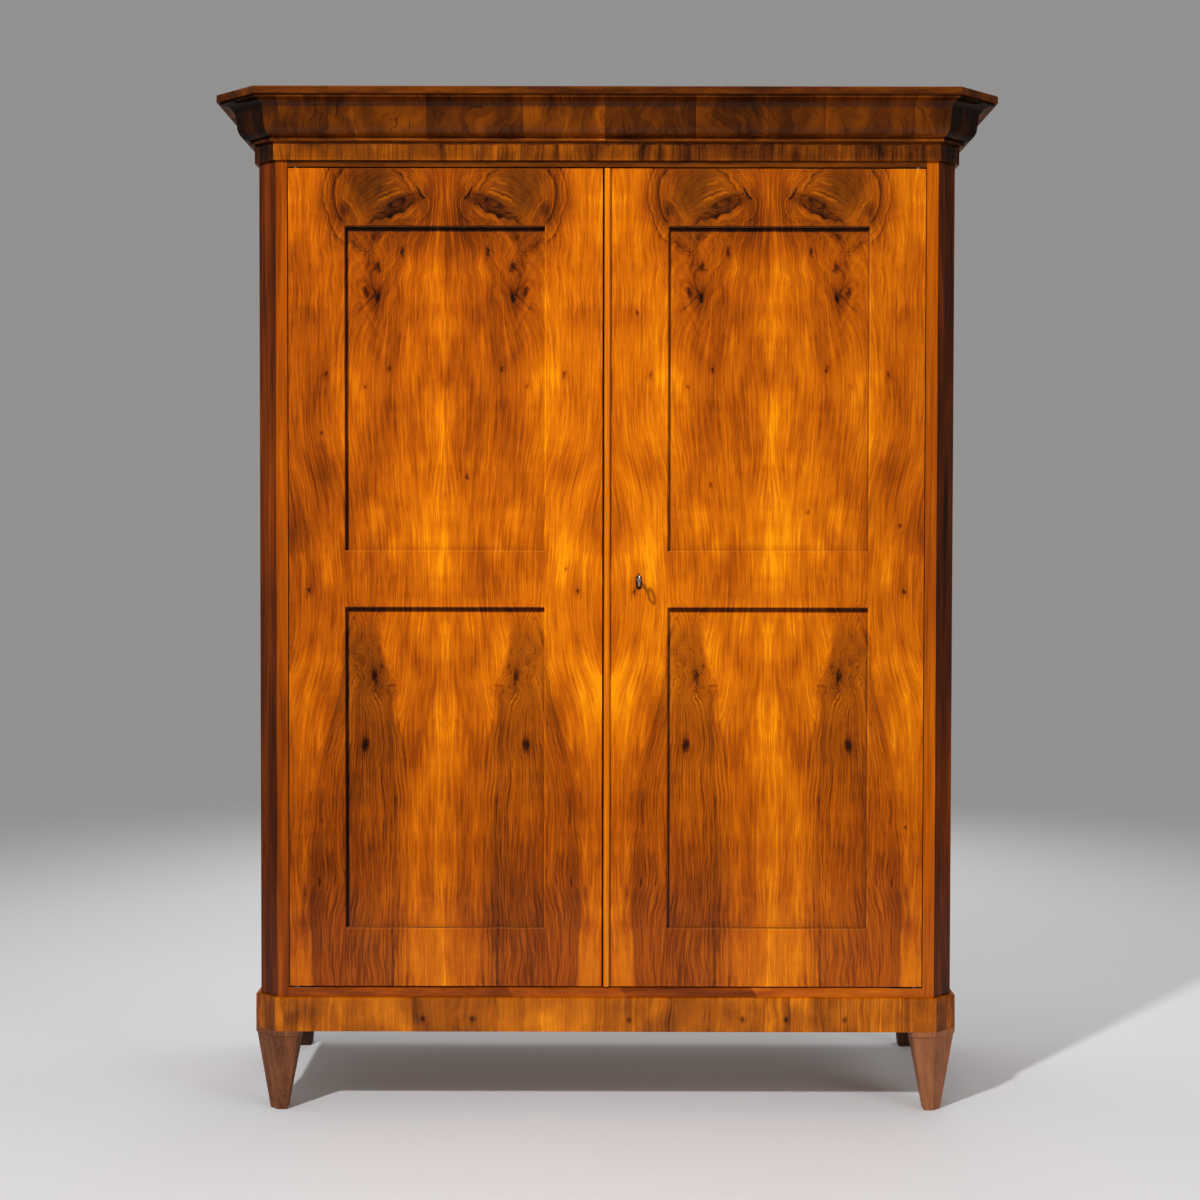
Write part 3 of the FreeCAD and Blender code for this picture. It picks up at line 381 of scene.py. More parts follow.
def ring_field(across, up):
    """Distance from the seam, drawn in near the middle rail, plus the bells of eye, trail and knots."""
    drawn_in = 0.030 * across.fade(0.0, 0.10) + 0.020 * across.fade(0.1, 0.3)
    near_rail = up.fade(1.42, 1.00) * up.fade(0.72, 1.00)
    return across + drawn_in * near_rail + dots(across, up, HILLS)


def knot_marks(x, z, across, up):
    """Change of tone of the knots: a bell with a ragged, sharp edge, and a wider, weaker one round it."""
    jag = noise(point(x * 210, 3.9, z * 150), detail=2) * 0.0065
    change = 0
    for centre, radius in UPPER_KNOTS + LOWER_KNOTS + PIN_KNOTS:
        core = dot(across + jag, up + jag, centre, radius, 0.5).fade(0.15, 0.95)
        change = change - core * 0.34 - dot(across, up, centre, radius * 2.6, 0.6) * 0.10
    for centre, radius in LONE_KNOTS:
        change = change - dot(x + jag, up, centre, radius * 1.2, 0.6).fade(0.2, 0.8) * 0.28
    return change


print(len(HILLS), "hills on the leaf")

# %% [markdown]
# Inside the eye the grain turns: a dark wing starts at a blunt tip near the seam and sweeps outward and
# down. So the eye has a coordinate along that sweep and one above it. The wing is a strip between two
# heights: its tip and its lower edge are black lines, thin strands and a dotted line of pith run along it,
# and bright curls lie above and below it.

# %% Door leaf: wing of the eye
TIP, SWEEP, WING = (0.0414, 1.7756), (0.904, -0.427), 0.0245
STRANDS = [(0.0050, 0.0011, 1.0), (0.0095, 0.0010, 1.0), (0.0190, 0.0012, 1.0)]
CURLS = [(0.0335, 0.0028, 1.0), (0.0415, 0.0018, 0.5)]


def eye_sweep(across, up):
    """Along the wing from its tip, and above it: the two axes turned to the direction of the sweep."""
    du, dz = across - TIP[0], up - TIP[1]
    return du * SWEEP[0] + dz * SWEEP[1], dz * SWEEP[0] - du * SWEEP[1]


def wing_marks(across, up):
    """Change of tone on and near the wing: body, black edges, strands, pith and curls, as bells."""
    along, above = eye_sweep(across, up)
    ragged = above + noise(point(along * 40, 4.4, above * 70), detail=2, rough=0.4) * 0.0020
    broken = noise(point(along * 110, 2.6, above * 60), detail=2)
    top = WING * along.fade(0.118, 0.045)
    on_wing = along.span(-0.002, 0.003, 0.090, 0.118)
    body = on_wing * ragged.fade(-0.003, 0.002) * (ragged - top).fade(0.004, -0.004)
    pith = ragged.peak(0.0135, 0.0040) * along.span(0.018, 0.032, 0.070, 0.088) * (broken + 0.15).fade(0, 0.4)
    lower = ragged.peak(0.0, 0.0020) * along.span(0.010, 0.026, 0.090, 0.112) * (0.75 + broken * 0.6)
    lower = lower + dot(along, ragged, (0.071, -0.001), 0.0065, 1.3)
    strands = bells(ragged, STRANDS) * on_wing * (broken + 0.3).fade(-0.1, 0.5)
    tip = along.peak(0.0, 0.0016) * above.span(-0.002, 0.003, 0.026, 0.036)
    arch = ragged + (along - 0.047) * (along - 0.047) * 5
    curl = bells(arch, CURLS) * along.span(0.024, 0.036, 0.066, 0.086)
    crease = arch.peak(0.0380, 0.0016) * along.span(0.030, 0.040, 0.066, 0.080)
    under = ragged.peak(-0.0095, 0.0055) * along.span(0.010, 0.030, 0.062, 0.090)
    ripple = noise(point(along * 210, 7.2, above * 330), detail=1)
    ripple = ripple * ragged.peak(-0.020, 0.009) * along.peak(0.036, 0.022)
    dark = body * 0.13 + pith * 0.22 + lower * 0.30 + strands * 0.16 + tip * 0.45 + crease * 0.10
    return curl * 0.22 + under * 0.13 + ripple * 0.16 - dark


print(len(STRANDS + CURLS), "lines along the wing")

# %% [markdown]
# Round the tip the grain streams past in arcs; on the stile, dark arcs close the eye; below the rail hangs
# a bowl of finer lines. Each group of arcs is a table of bells over the distance from a centre: a row gives
# the distance, the width and the strength of one line. Short strokes are the brow and its gleam.

# %% Door leaf: round the eye
BROW = [((0.0842, 1.8245), (0.0700, 1.7960), 0.0032), ((0.098, 1.836), (0.0842, 1.8245), 0.004)]
GLEAM = [
    ((0.0775, 1.8260), (0.0645, 1.7980), 0.0030),
    ((0.1160, 1.8000), (0.1000, 1.8085), 0.0030),
    ((0.1925, 1.7750), (0.1805, 1.7640), 0.004),
    ((0.1805, 1.7640), (0.1665, 1.7430), 0.0035),
]
STREAM_CENTRE, STILE_CENTRE, BOWL_CENTRE = (0.065, 1.765), (0.158, 1.786), (0.148, 1.7085)
STREAM = [(0.0345, 0.0011, 1.0), (0.0395, 0.0012, 0.7), (0.046, 0.0014, 0.5), (0.0315, 0.0014, -0.8)]
STILE_ARCS = [
    (0.0560, 0.0020, 1.0),
    (0.0605, 0.0045, 0.45),
    (0.0690, 0.0014, 0.4),
    (0.0790, 0.0020, 0.95),
    (0.0850, 0.0014, 0.45),
    (0.0480, 0.0012, 0.25),
]
BOWL = [(0.0245, 0.0017, 1.0), (0.018, 0.0014, 0.6), (0.031, 0.0014, 0.5)]
BLOBS = [
    ((0.1716, 1.7070), 0.0050, 0.6, 1.0),
    ((0.1244, 1.7080), 0.0060, 0.6, 1.0),
    ((0.193, 1.757), 0.008, 0.7, 0.8),
]


def ring(across, up, centre, flat=1.0):
    """Distance from a centre, with the height counted at a share."""
    du, dz = across - centre[0], (up - centre[1]) * flat
    return (du * du + dz * dz).root()


def eye_marks(across, up, sign):
    """Mask of the eye, mask of its turned grain, and its change of tone; sign is the side of the seam,
    since the two sides shimmer the opposite way."""
    u = across + noise(point(across * 38, 2.8, up * 38), detail=2) * 0.005
    w = up + noise(point(across * 38, 6.3, up * 38), detail=2) * 0.005
    flow = bells(ring(u, w, STREAM_CENTRE), STREAM) * across.fade(0.056, 0.044)
    flow = flow * up.fade(1.800, 1.776) * up.fade(1.722, 1.740)
    uneven = 0.75 + noise(point(up * 16, across * 60, 0.7)) * 0.7
    arcs = bells(ring(u, w, STILE_CENTRE, 0.86), STILE_ARCS)
    arcs = arcs * across.fade(0.189, 0.196) * up.fade(1.655, 1.705) * uneven
    bowl = bells(ring(u, w, BOWL_CENTRE), BOWL) * up.fade(1.716, 1.706)

    whole = dot(across, up, (0.135, 1.790), 0.080, 1.0)
    turned = dot(across, up, (0.118, 1.784), 0.066, 1.1).fade(0.08, 0.80)
    shimmer = dot(u, w, (0.158, 1.815), 0.040, 1.2) * (0.06 + sign * 0.06)
    pale = strokes(u, w, GLEAM) * 0.13 + dot(u, w, (0.146, 1.745), 0.021, 1.0) * 0.09
    dark = whole * 0.09 + shimmer + strokes(u, w, BROW) * 0.17 + dots(u, w, BLOBS) * 0.24
    return whole, turned, wing_marks(u, w) + pale - dark - flow * 0.17 - arcs * 0.34 - bowl * 0.16


print(len(STREAM + STILE_ARCS + BOWL), "arcs round the eye")

# %% [markdown]
# The flame has an inner edge on the panel and an outer edge on the stile. Its own coordinate runs from
# nought at the one to one at the other, so dark lines drawn at steps of it lean together towards the top,
# as the growth rings do. Years are counted along it with some noise; the end of each year is a thin dark
# line that comes and goes. In the panel's upper corner a burl stirs the coordinate, and the lines curl.

# %% Door leaf: flame
FLAME_LINES = [
    (0.0, 0.010, 0.18),
    (0.045, 0.006, 0.13),
    (0.08, 0.009, 0.10),
    (0.135, 0.007, 0.12),
    (0.19, 0.006, 0.08),
    (0.26, 0.009, 0.10),
    (0.36, 0.007, 0.08),
    (0.60, 0.10, 0.05),
    (0.80, 0.010, 0.08),
    (0.93, 0.045, 0.11),
    (0.975, 0.009, 0.10),
]
YEARS = 21


def flame(across, up):
    """Coordinate across the flame, its mask, and the change of tone of the dark lines along its edges."""
    inner = 0.076 + 0.046 * up.fade(0.66, 0.97)
    fall = up.maths("MAXIMUM", up - 0.35, 0)
    outer = 0.267 - 0.22 * fall * fall
    tremble = noise(point(across * 7, 2.2, up * 6), detail=3) * 0.10
    share = (across - inner) / (outer - inner) + tremble
    low = (up + tremble * 0.6).fade(1.02, 0.90)
    inside = share.span(-0.10, 0.16, 0.90, 1.06) * low

    burl = dot(across, up, (0.158, 0.880), 0.062, 0.75)
    share = share + noise(point(across * 24, 3.3, up * 22), detail=3) * burl * 0.42
    grit = noise(point(share * 40, 1.3, up * 4), detail=2) * 0.9 + 0.8
    count = share * YEARS + noise(point(share * 4, 8.1, up * 3.2), detail=3) * 2.2
    comes_and_goes = noise(point(share * 5, 5.9, up * 1.8), detail=2).fade(-0.30, 0.35)
    late = count.maths("FRACT", count).span(0.55, 0.94, 0.95, 1.0) * comes_and_goes
    dark = bells(share, FLAME_LINES) * low * grit + (late * (0.12 + burl * 0.10) + burl * 0.05) * inside
    return share, inside, dark * -1


print(len(FLAME_LINES), "lines in the flame")

# %% [markdown]
# Joints between rail and stile are hairlines. Where the rail above and the stile on the left cast their
# shadow on a panel, a dark band is painted, and painted shade darkens the quirk beside the bead; a painted
# highlight runs along the edges below and on the right of a panel. These lines are places on the doors, so
# they use the true distance from the middle and the true height.

# %% Door leaf: joints
HAIRLINE, ARRIS = 0.0007, 0.0012
PANELS = [(1.099, 1.100, 1.7260, 1.7275), (0.3625, 0.3635, 0.9880, 0.9895)]
# Below: the heights of the painted shadow under each rail, the heights of the painted highlight at each
# panel's foot, and where across the doors the quirk's painted shade lies.
PANEL_TOP_SHADOWS = [(1.7165, 1.7200, 1.7265, 1.7285), (0.9775, 0.9810, 0.9885, 0.9905)]
PANEL_FOOT_HIGHLIGHTS = [(1.0985, ARRIS, 1.0), (0.362, ARRIS, 1.0)]
QUIRK_SHADE = (0.0060, 0.0075, 0.0090, 0.0105)


def joint_marks(x, z, outward):
    """Change of tone of joints, painted shadows and shade, and painted highlights on edges; on the right door
    the joints lie nearer the middle.
    """
    right = x.maths("GREATER_THAN", x, 0)
    joint = outward.peak(0.122 - right * 0.0045, HAIRLINE) + outward.peak(0.509 - right * 0.002, HAIRLINE)
    within = outward.span(0.120, 0.121, 0.508, 0.509)
    panels = sum(z.span(*row) for row in PANELS)
    top_shadows = sum(z.span(*row) for row in PANEL_TOP_SHADOWS)
    left_edge = right.blend(outward.fade(0.5015, 0.5040), outward.fade(0.1240, 0.1215))
    # Painted shadow of the rail above and the stile on the left on each panel, and painted shade in the
    # quirk.
    painted_shadow = top_shadows.maths("MAXIMUM", top_shadows, left_edge * panels) * within + x.span(*QUIRK_SHADE)
    right_edge = right.blend(outward.peak(0.1198, ARRIS), outward.peak(0.5094, ARRIS))
    # Painted highlight along the lower and right edges of each panel.
    painted_highlight = bells(z, PANEL_FOOT_HIGHLIGHTS) * within + right_edge * panels
    return painted_highlight * 0.14 - joint * 0.10 - painted_shadow * 0.42


# %% [markdown]
# Fine grain is noise stretched along the rings: soft bands, threads, lines of a few millimetres, fibres,
# dark dashes and pores. Polished walnut shimmers, because its fibres rise and sink: broad clouds and short
# ripples across the grain show that. The two leaves of a book shimmer the opposite way, so one side of the
# seam is paler.

# %% Door leaf: all together


def door_tone(place):
    """Tone and greenness of the leaf: a pale base, clouds and grain, a painted pool of light in the middle
    and painted light growing to the right, then eyes, flame, knots and joints with painted shadows and
    highlights.
    """
    x, z, outward, signed, across, up = leaf(place)
    sign = signed.maths("SIGN", signed)
    whole_eye, turned, eye_change = eye_marks(across, up, sign)
    share, in_flame, flame_change = flame(across, up)
    along, above = eye_sweep(across, up)
    rings = in_flame.blend(ring_field(across, up), share * 0.26 + 0.078)
    rings, run = turned.blend(rings, above * 0.8 + 0.05), turned.blend(up, along)

    bands = noise(point(rings * 42, 1.7, run * 1.3), detail=3, rough=0.6)
    threads = noise(point(rings * 115, 7.4, run * 8), detail=2)
    lines = noise(point(rings * 240, 4.2, run * 13), detail=3)
    fibres = noise(point(rings * 560, 6.6, run * 17), detail=2)
    dashes = noise(point(rings * 320, 8.3, run * 24), detail=1).fade(0.22, 0.60)
    pores = noise(point(rings * 950, 2.9, run * 36), detail=1).fade(0.15, 0.6)
    patch = noise(point(across * 6, 0.3, up * 3), detail=2)
    cloud = noise(point(across * 17, 3.6, up * 8), detail=3, distort=0.5)
    ripple = noise(point(across * 11, 5.5, up * 40), detail=2)
    by_the_seam = dot(across, up, (0.0, 1.62), 0.07, 0.5)
    opposite = 0.025 + noise(point(across * 7, 9.1, up * 4)) * 0.16 + by_the_seam * 0.05

    calm = 1 - in_flame * 0.6
    tone = 0.65 + (patch * 0.36 + cloud * 0.25) * calm + sign * opposite + ripple * (0.06 + patch * 0.10)
    grain = bands * 0.14 * calm + threads * 0.11 + lines * 0.24 + fibres * 0.17
    grain = grain - dashes * (0.12 + in_flame * 0.14)
    # The right door is painted lighter than the left (x * 0.10): painted light.
    tone = tone + grain * (1 - whole_eye * 0.5) - pores * 0.14 + x * 0.10
    # Painted pool of light in the middle of the doors, and painted fall of light towards their outer edges.
    painted_light_pool = outward.peak(0, 0.19) * z.peak(1.08, 0.62)
    tone = tone + painted_light_pool * 0.15 - outward.fade(0.42, 0.60) * 0.04
    tone = tone + across.peak(0, 0.022) * up.fade(1.02, 0.90) * 0.12 + across.peak(0, 0.10) * 0.05
    tone = tone - up.fade(1.62, 1.80) * across.fade(0.27, 0.20) * 0.17
    heartwood = bands * 0.06 + lines * 0.04 + share.fade(0.55, 0.75) * 0.06 - 0.16
    tone = tone + heartwood * in_flame + flame_change + eye_change
    trail = dot(across, up, (0.136, 1.615), 0.060, 0.55)
    chevron = noise(point((abs(across - 0.134) - up / 1.7) * 75, 8.8, up * 4), detail=3, rough=0.6)
    tone = tone + (chevron * 0.30 - 0.09) * trail
    tone = tone + knot_marks(x, z, across, up) + joint_marks(x, z, outward)
    return tone, whole_eye + in_flame * (patch + 0.3).fade(0, 0.6) * 0.6


# %% [markdown]
# Only the faces that look forward carry the leaf. The edges and the backs are plain walnut with a thinner
# polish, so the object's own normal chooses between the two. The polish has nearly filled the pores; what
# is left of them is too fine to show which way the rings bend, so the bump is plain upright noise, which
# renders much faster than the leaf.

# %% Door finish
DOOR_PARTS = "hinge_stile meeting_stile top_rail middle_rail bottom_rail upper_panel lower_panel".split()

made, place, normal = new_finish("door_veneer")
x, y, z = place.split()
forward = (normal.split()[1] * -1).fade(0.6, 0.8)
tone, green = door_tone(place)
filled_pores = noise(point(x * 950, 2.9, z * 36), detail=1).fade(0.15, 0.6)
height = noise(point(x * 240, 4.2, z * 13), detail=2) * 0.5 - filled_pores * 0.5
colour = forward.tint(plain_wood(x, y, z), green.tint(tone.ramp(WALNUT), tone.ramp(OLIVE)))
rough = 0.30 + height * 0.05 + (1 - forward) * 0.18
door_veneer = lay(made, colour, rough, height, VENEER_RELIEF, coat=forward.blend(0.12, POLISH))
dress([f"{side}_{part}" for side in ("left", "right") for part in DOOR_PARTS], door_veneer)

# %% [markdown]
# ## Cross-grained mouldings
# Plinth, frieze and cornice are covered with short leaves whose grain stands upright, across the length of
# the board, laid side by side and cut from curly wood. A one-dimensional Voronoi texture along the run
# gives leaves of uneven width, each with its own tone, and hairlines where they meet. The run is x on the
# front, y on the sides, and a diagonal at the corners. Plugged nail holes dot the front of the plinth.

# %% Cross veneer
LEAVES_PER_M = 6.5
PEGS = [(-0.357, 0.186), (-0.260, 0.186), (0.267, 0.186), (0.352, 0.186), (0.466, 0.185), (0.046, 0.184)]


def cross_finish(name, run, pegs=(), dark=0.0):
    """Upright grain in leaves along a run; the cornice's grain curls, and the frieze and cornice are painted
    darker than the plinth, as painted shade. Pegs are the plugged nail holes, as points on the front; dark
    lowers the tone, which the corners get as painted shade."""
    made, place, normal = new_finish(name)
    x, y, z = place.split()
    s = run(x, y)
    tier = z.fade(1.0, 1.1) * 31.7 + z.fade(1.885, 1.889) * 17.3
    leaves = {"W": s * LEAVES_PER_M + tier, "Scale": 1.0}
    pick, pick2, pick3 = s.node("TexVoronoi", {"voronoi_dimensions": "1D"}, leaves, output="Color").split()
    edge = s.node("TexVoronoi", {"voronoi_dimensions": "1D", "feature": "DISTANCE_TO_EDGE"}, leaves)
    joint = edge.fade(0.006, 0.001)
    curl = z.fade(1.88, 1.90)
    rings = s + noise(point(s * 9, pick * 40, z * 12), detail=2) * (0.012 + curl * 0.060)
    bands = noise(point(rings * (48 - curl * 20), pick * 40, z * (1.5 + curl * 5)), detail=3, rough=0.6)
    threads = noise(point(rings * 115, pick3 * 40, z * (3.4 + curl * 7)), detail=2)
    lines = noise(point(rings * 230, pick2 * 40, z * (6 + curl * 8)), detail=3)
    pores = noise(point(rings * 850, 2.9, z * 40), detail=1).fade(0.15, 0.6)
    dashes = noise(point(rings * 330, 8.3, z * 16), detail=1).fade(0.25, 0.60)
    blotch = noise(point(s * 16, pick2 * 40, z * 14), detail=3)
    stripes = bands * 0.34 + (threads * 0.12 + lines * 0.26) * (1 - curl * 0.45)
    figure = (pick3 - 0.5) * 0.16 + blotch * 0.38 + stripes * (0.45 + pick)
    tone = 0.58 - dark + figure * (1 - curl * 0.25) - dashes * 0.18 - pores * 0.16 - joint * 0.10
    # Painted shade: the frieze darker than the plinth, and the cornice darker still.
    tone = tone - z.fade(1.84, 1.86) * 0.23 - z.fade(1.885, 1.895) * 0.09
    if pegs:
        tone = tone - dots(s, z, [(peg, 0.0045, 0.8, 0.38) for peg in pegs])
    bare = inner_faces(x, normal.split())
    colour = bare.tint(tone.ramp(OLIVE), plain_wood(x, y, z))
    rough, height = 0.28 + lines * 0.06 + bare * BARE_ROUGH, lines * 0.5 - pores * 0.5 - joint
    return lay(made, colour, rough, height, VENEER_RELIEF, coat=bare.blend(POLISH - curl * 0.06, BARE_COAT))


fronts = ["plinth_front", "frieze_front", "cornice_front"]
flanks = [f"{part}_side_{side}" for part in ("plinth", "frieze", "cornice") for side in ("left", "right")]
corners = ["plinth_corners", "frieze_corners", "cornice_corners"]
dress(fronts, cross_finish("cross_veneer_front", lambda x, y: x, PEGS))
dress(flanks, cross_finish("cross_veneer_side", lambda x, y: y))
# The corners are given a lower tone as painted shade.
dress(corners, cross_finish("cross_veneer_corner", lambda x, y: (abs(x) + y) * math.sqrt(0.5), dark=0.21))

# %% [markdown]
# ## Long-grained walnut
# Posts, side panels, rails and the cap show long grain. One formula serves them all: noise that is drawn
# out along the grain's direction, with dark streaks; on the wide side panels it follows the arches of a
# flat-sawn board. Veneer and polish are for show: faces that look into the cabinet or to the wall are
# plain, and the top of the cap, above eye level, was never polished. The normal says which face is which.

# %% Long veneer
DRAWN_OUT = 0.06


def long_finish(
    name, along, base=0.48, streaks=0.30, stops=WALNUT,
    lengths=0.0, bare=None, chamfer_shade=0.0, right=0.0, arches=False,
):
    """Straight grain drawn out along one axis: that axis is scaled little and the others much. Lengths are
    pieced leaves, bare masks plain faces, chamfer paints shade on the faces that stand between front
    and side, right paints light on the others on the right, and arches draws the grain by the distance
    from a heart that wanders below the panel."""
    made, place, normal = new_finish(name)
    x, y, z = axes = place.split()
    low = [DRAWN_OUT if axis == along else 1.0 for axis in "xyz"]
    wave = noise(point(x * low[0] * 9, y * low[1] * 9, z * low[2] * 9)) * 0.02
    px, py, pz = ((v + wave) * share for v, share in zip(axes, low))
    if arches:
        heart = y - 0.03 + noise(point(0.3, 1.1, z * 0.8), detail=2) * 0.06
        deep = 0.04 + noise(point(7.3, 4.1, z * 0.4), detail=2, rough=0.35) * 0.16 + z * 0.02
        px, py = (heart * heart + deep * deep).root() * 1.7 + wave * 0.4, 0.0
    bands = noise(point(px * 34, py * 34, pz * 34), detail=3)
    lines = noise(point(px * 210, py * 210, pz * 90), detail=2)
    pores = noise(point(px * 900, py * 900, pz * 420), detail=1)
    patch = noise(point(x * low[0] * 14, y * low[1] * 14, z * low[2] * 14))
    tone = base + bands * streaks + lines * 0.19 + pores * 0.08 + patch * 0.12
    sideways, backwards, _ = faces = normal.split()
    # Painted shade on the chamfers, and painted light on the other faces on the right.
    slanted = abs(sideways * backwards).fade(0.25, 0.45)
    painted_light_right = x.fade(-0.1, 0.1) * right
    tone = tone - slanted * (chamfer_shade + painted_light_right) + painted_light_right
    if lengths:
        run = {"W": dict(zip("xyz", axes))[along] * lengths + z * 3, "Scale": 1.0}
        pick = z.node("TexVoronoi", {"voronoi_dimensions": "1D"}, run, output="Color").split()[0]
        tone = tone + pick * 0.30 - 0.15
    colour, rough, coat = tone.ramp(stops), 0.30 + lines * 0.06, POLISH
    if bare:
        mask = bare(x, faces)
        plain = plain_wood(*{"x": (z, y, x), "y": (x, z, y), "z": (x, y, z)}[along])
        colour = mask.tint(colour, plain)
        rough, coat = rough + mask * BARE_ROUGH, mask.blend(POLISH, BARE_COAT)
    return lay(made, colour, rough, lines * 0.5 + pores * 0.5, VENEER_RELIEF, coat=coat)


def top_face(x, normal):
    """One on faces that look up."""
    return normal[2].fade(0.7, 0.9)


posts = ["post_front_left", "post_front_right", "post_rear_left", "post_rear_right"]
side_panels = ["side_panels_left", "side_panels_right"]
side_rails = ["side_rails_left", "side_rails_right"]
# The posts get painted shade on their chamfers and painted light on their right-hand faces.
dress(posts, long_finish("long_veneer_upright", "z", bare=inner_faces, chamfer_shade=0.27, right=0.13))
dress(side_panels, long_finish("long_veneer_panels", "z", bare=inner_faces, arches=True))
# The bead's high base tone is painted light: the pool of light in the middle of the doors.
dress(["astragal_bead"], long_finish("bead_veneer", "z", base=0.80, streaks=0.2))
dress(side_rails, long_finish("long_veneer_deep", "y", bare=inner_faces))
dress(["threshold_rail"], long_finish("long_veneer_pieced", "x", base=0.46, lengths=4.5))
# The head rail and the cap are given low base tones: painted shade at the top of the cabinet.
dress(["head_rail"], long_finish("long_veneer_head", "x", base=0.28, stops=OLIVE))
dress(["cornice_cap"], long_finish("long_veneer_cap", "x", base=0.21, bare=top_face, stops=OLIVE))

# %% [markdown]
# ## Feet
# The front feet are solid walnut, worn by mops and shoes: duller, pinker and open-pored; the right one is
# paler, which is painted light. The rear feet are plain blocks, painted very dark as painted shade.

# %% Foot finishes
FOOT = [(0.1, (0.045, 0.016, 0.008)), (0.5, (0.200, 0.068, 0.028)), (0.9, (0.360, 0.135, 0.055))]
SHADED_FOOT = [(0.1, (0.012, 0.006, 0.004)), (0.5, (0.045, 0.020, 0.011)), (0.9, (0.090, 0.042, 0.022))]


def foot_finish(name, stops, coat):
    """Upright open pores over soft bands, with scuffs that grow towards the floor."""
    made, place, _ = new_finish(name)
    x, y, z = place.split()
    bands = noise(point(x * 55 + z * 4, y * 55, z * 5), detail=3)
    pores = noise(point(x * 520, y * 520, z * 26), detail=2)
    scuff = noise(point(x * 90, y * 90, z * 60), detail=4) * z.fade(0.10, 0.0)
    # x.fade(-0.1, 0.1) * 0.32 paints the right foot paler: painted light.
    tone = 0.46 + bands * 0.40 + pores * 0.28 + scuff * 0.2 + x.fade(-0.1, 0.1) * 0.32
    return lay(made, tone.ramp(stops), 0.46 + pores * 0.12, pores, relief=0.0005, coat=coat, coat_rough=0.2)


dress(["foot_front_left", "foot_front_right"], foot_finish("foot_walnut", FOOT, 0.2))
# The rear feet are painted very dark: painted shade.
dress(["foot_rear_left", "foot_rear_right"], foot_finish("foot_shaded", SHADED_FOOT, 0.1))

# %% [markdown]
# ## Softwood inside
# Back boards, shelves and floor are spruce boards, darkened by age and left almost bare. A flat-sawn board
# cuts the tree's rings lengthwise, so they show as nested arches: lines of equal distance from the tree's
# heart, which wanders below the face along the board. Each ring is pale and ends in a thin dark line. Every
# board comes from another tree, so a number for each board moves the heart and the tone. Joints, knots and
# nail heads finish it.

# %% Softwood
SPRUCE = [(0.1, (0.075, 0.028, 0.009)), (0.5, (0.290, 0.140, 0.050)), (0.9, (0.500, 0.295, 0.130))]
BOARD, WHOLE, RINGS_PER_M = 0.1615, 0.5, 190
NAIL_ROWS, NAIL_OFF, NAIL_RADIUS = (0.242, 1.040, 1.838), 0.052, 0.0035


def softwood_finish(name, grain, across, other, width=WHOLE, storeys=0.0, nails=()):
    """Rings of boards of one width: the fraction of the distance from a wandering heart, sharp at its end."""
    made, place, _ = new_finish(name)
    axes = dict(zip("xyz", place.split()))
    run, side, depth = axes[grain], axes[across], axes[other]
    board = side.maths("FLOOR", side / width)
    storey = run.maths("FLOOR", axes["z"] * storeys)
    tree = run.node("TexWhiteNoise", {"noise_dimensions": "1D"}, {"W": board * 1.7 + storey * 13.1 + 0.3})
    local = side - (board + 0.5) * width
    wander = noise(point(tree * 30, 0.7, run * 0.8), detail=2)
    heart_side = local + (tree - 0.5) * 0.12 + wander * 0.03
    sink = noise(point(tree * 50, 4.1, run * 0.33), detail=2, rough=0.35)
    heart_depth = 0.030 + sink * 0.11 + tree * 0.05 + run * 0.012
    distance = (heart_side * heart_side + heart_depth * heart_depth).root()
    spot = {"Vector": point(local * 9 + tree * 20, run * 2.3, 0.0), "Scale": 1.0}
    spare = run.node("TexVoronoi", {"voronoi_dimensions": "2D"}, spot, "Color").split()[0]
    knot = run.node("TexVoronoi", {"voronoi_dimensions": "2D"}, spot) + spare.fade(0.30, 0.34)
    shake = noise(point(local * 40, tree * 9, run * 6), detail=2) * 0.0012
    distance = distance + knot.fade(0.22, 0.02) * 0.012 + shake
    late = run.maths("FRACT", distance * RINGS_PER_M + tree * 7).span(0.45, 0.95, 0.95, 1.0)
    fibre = noise(point(local * 700, depth * 500, run * 22), detail=2)
    stain = noise(point(axes["x"] * 3, axes["y"] * 3, axes["z"] * 3), detail=4)
    joint = abs(local).fade(width / 2 - 0.0018, width / 2 - 0.0004)
    tone = 0.55 + (tree - 0.5) * 0.14 - late * 0.17 + fibre * 0.12 + stain * 0.18
    tone = tone - knot.fade(0.075, 0.045) * 0.34
    if nails:
        tone = tone - dots(abs(local), run, [((NAIL_OFF, row), NAIL_RADIUS, 1.0, 0.45) for row in nails])
    colour, height = (tone - joint * 0.42).ramp(SPRUCE), fibre - late * 0.4 - joint * 4
    return lay(made, colour, 0.60 + fibre * 0.1, height, relief=0.0004, coat=0.0, specular=0.2)


shelf_boards = ["bottom_board", "top_board", "shelves"]
dress(shelf_boards, softwood_finish("spruce_shelves", "x", "y", "z", BOARD, storeys=2.9))
dress(["crown_back_rail", "plinth_back"], softwood_finish("spruce_rails", "x", "z", "y"))
dress(["back_boards"], softwood_finish("spruce_back", "z", "x", "y", BOARD, nails=NAIL_ROWS))
dress(["base_corner_blocks"], softwood_finish("spruce_blocks", "z", "x", "y"))
dress(["shelf_cleats"], softwood_finish("spruce_cleats", "y", "z", "x"))

# %% [markdown]
# ## Metal
# Bolts, pivots and the lock are forged iron, blackened and waxed. The key is worn bright where hands hold
# it, and the escutcheon is brass that has browned. Noise in colour and roughness keeps them from looking
# moulded.

# %% Metal finishes


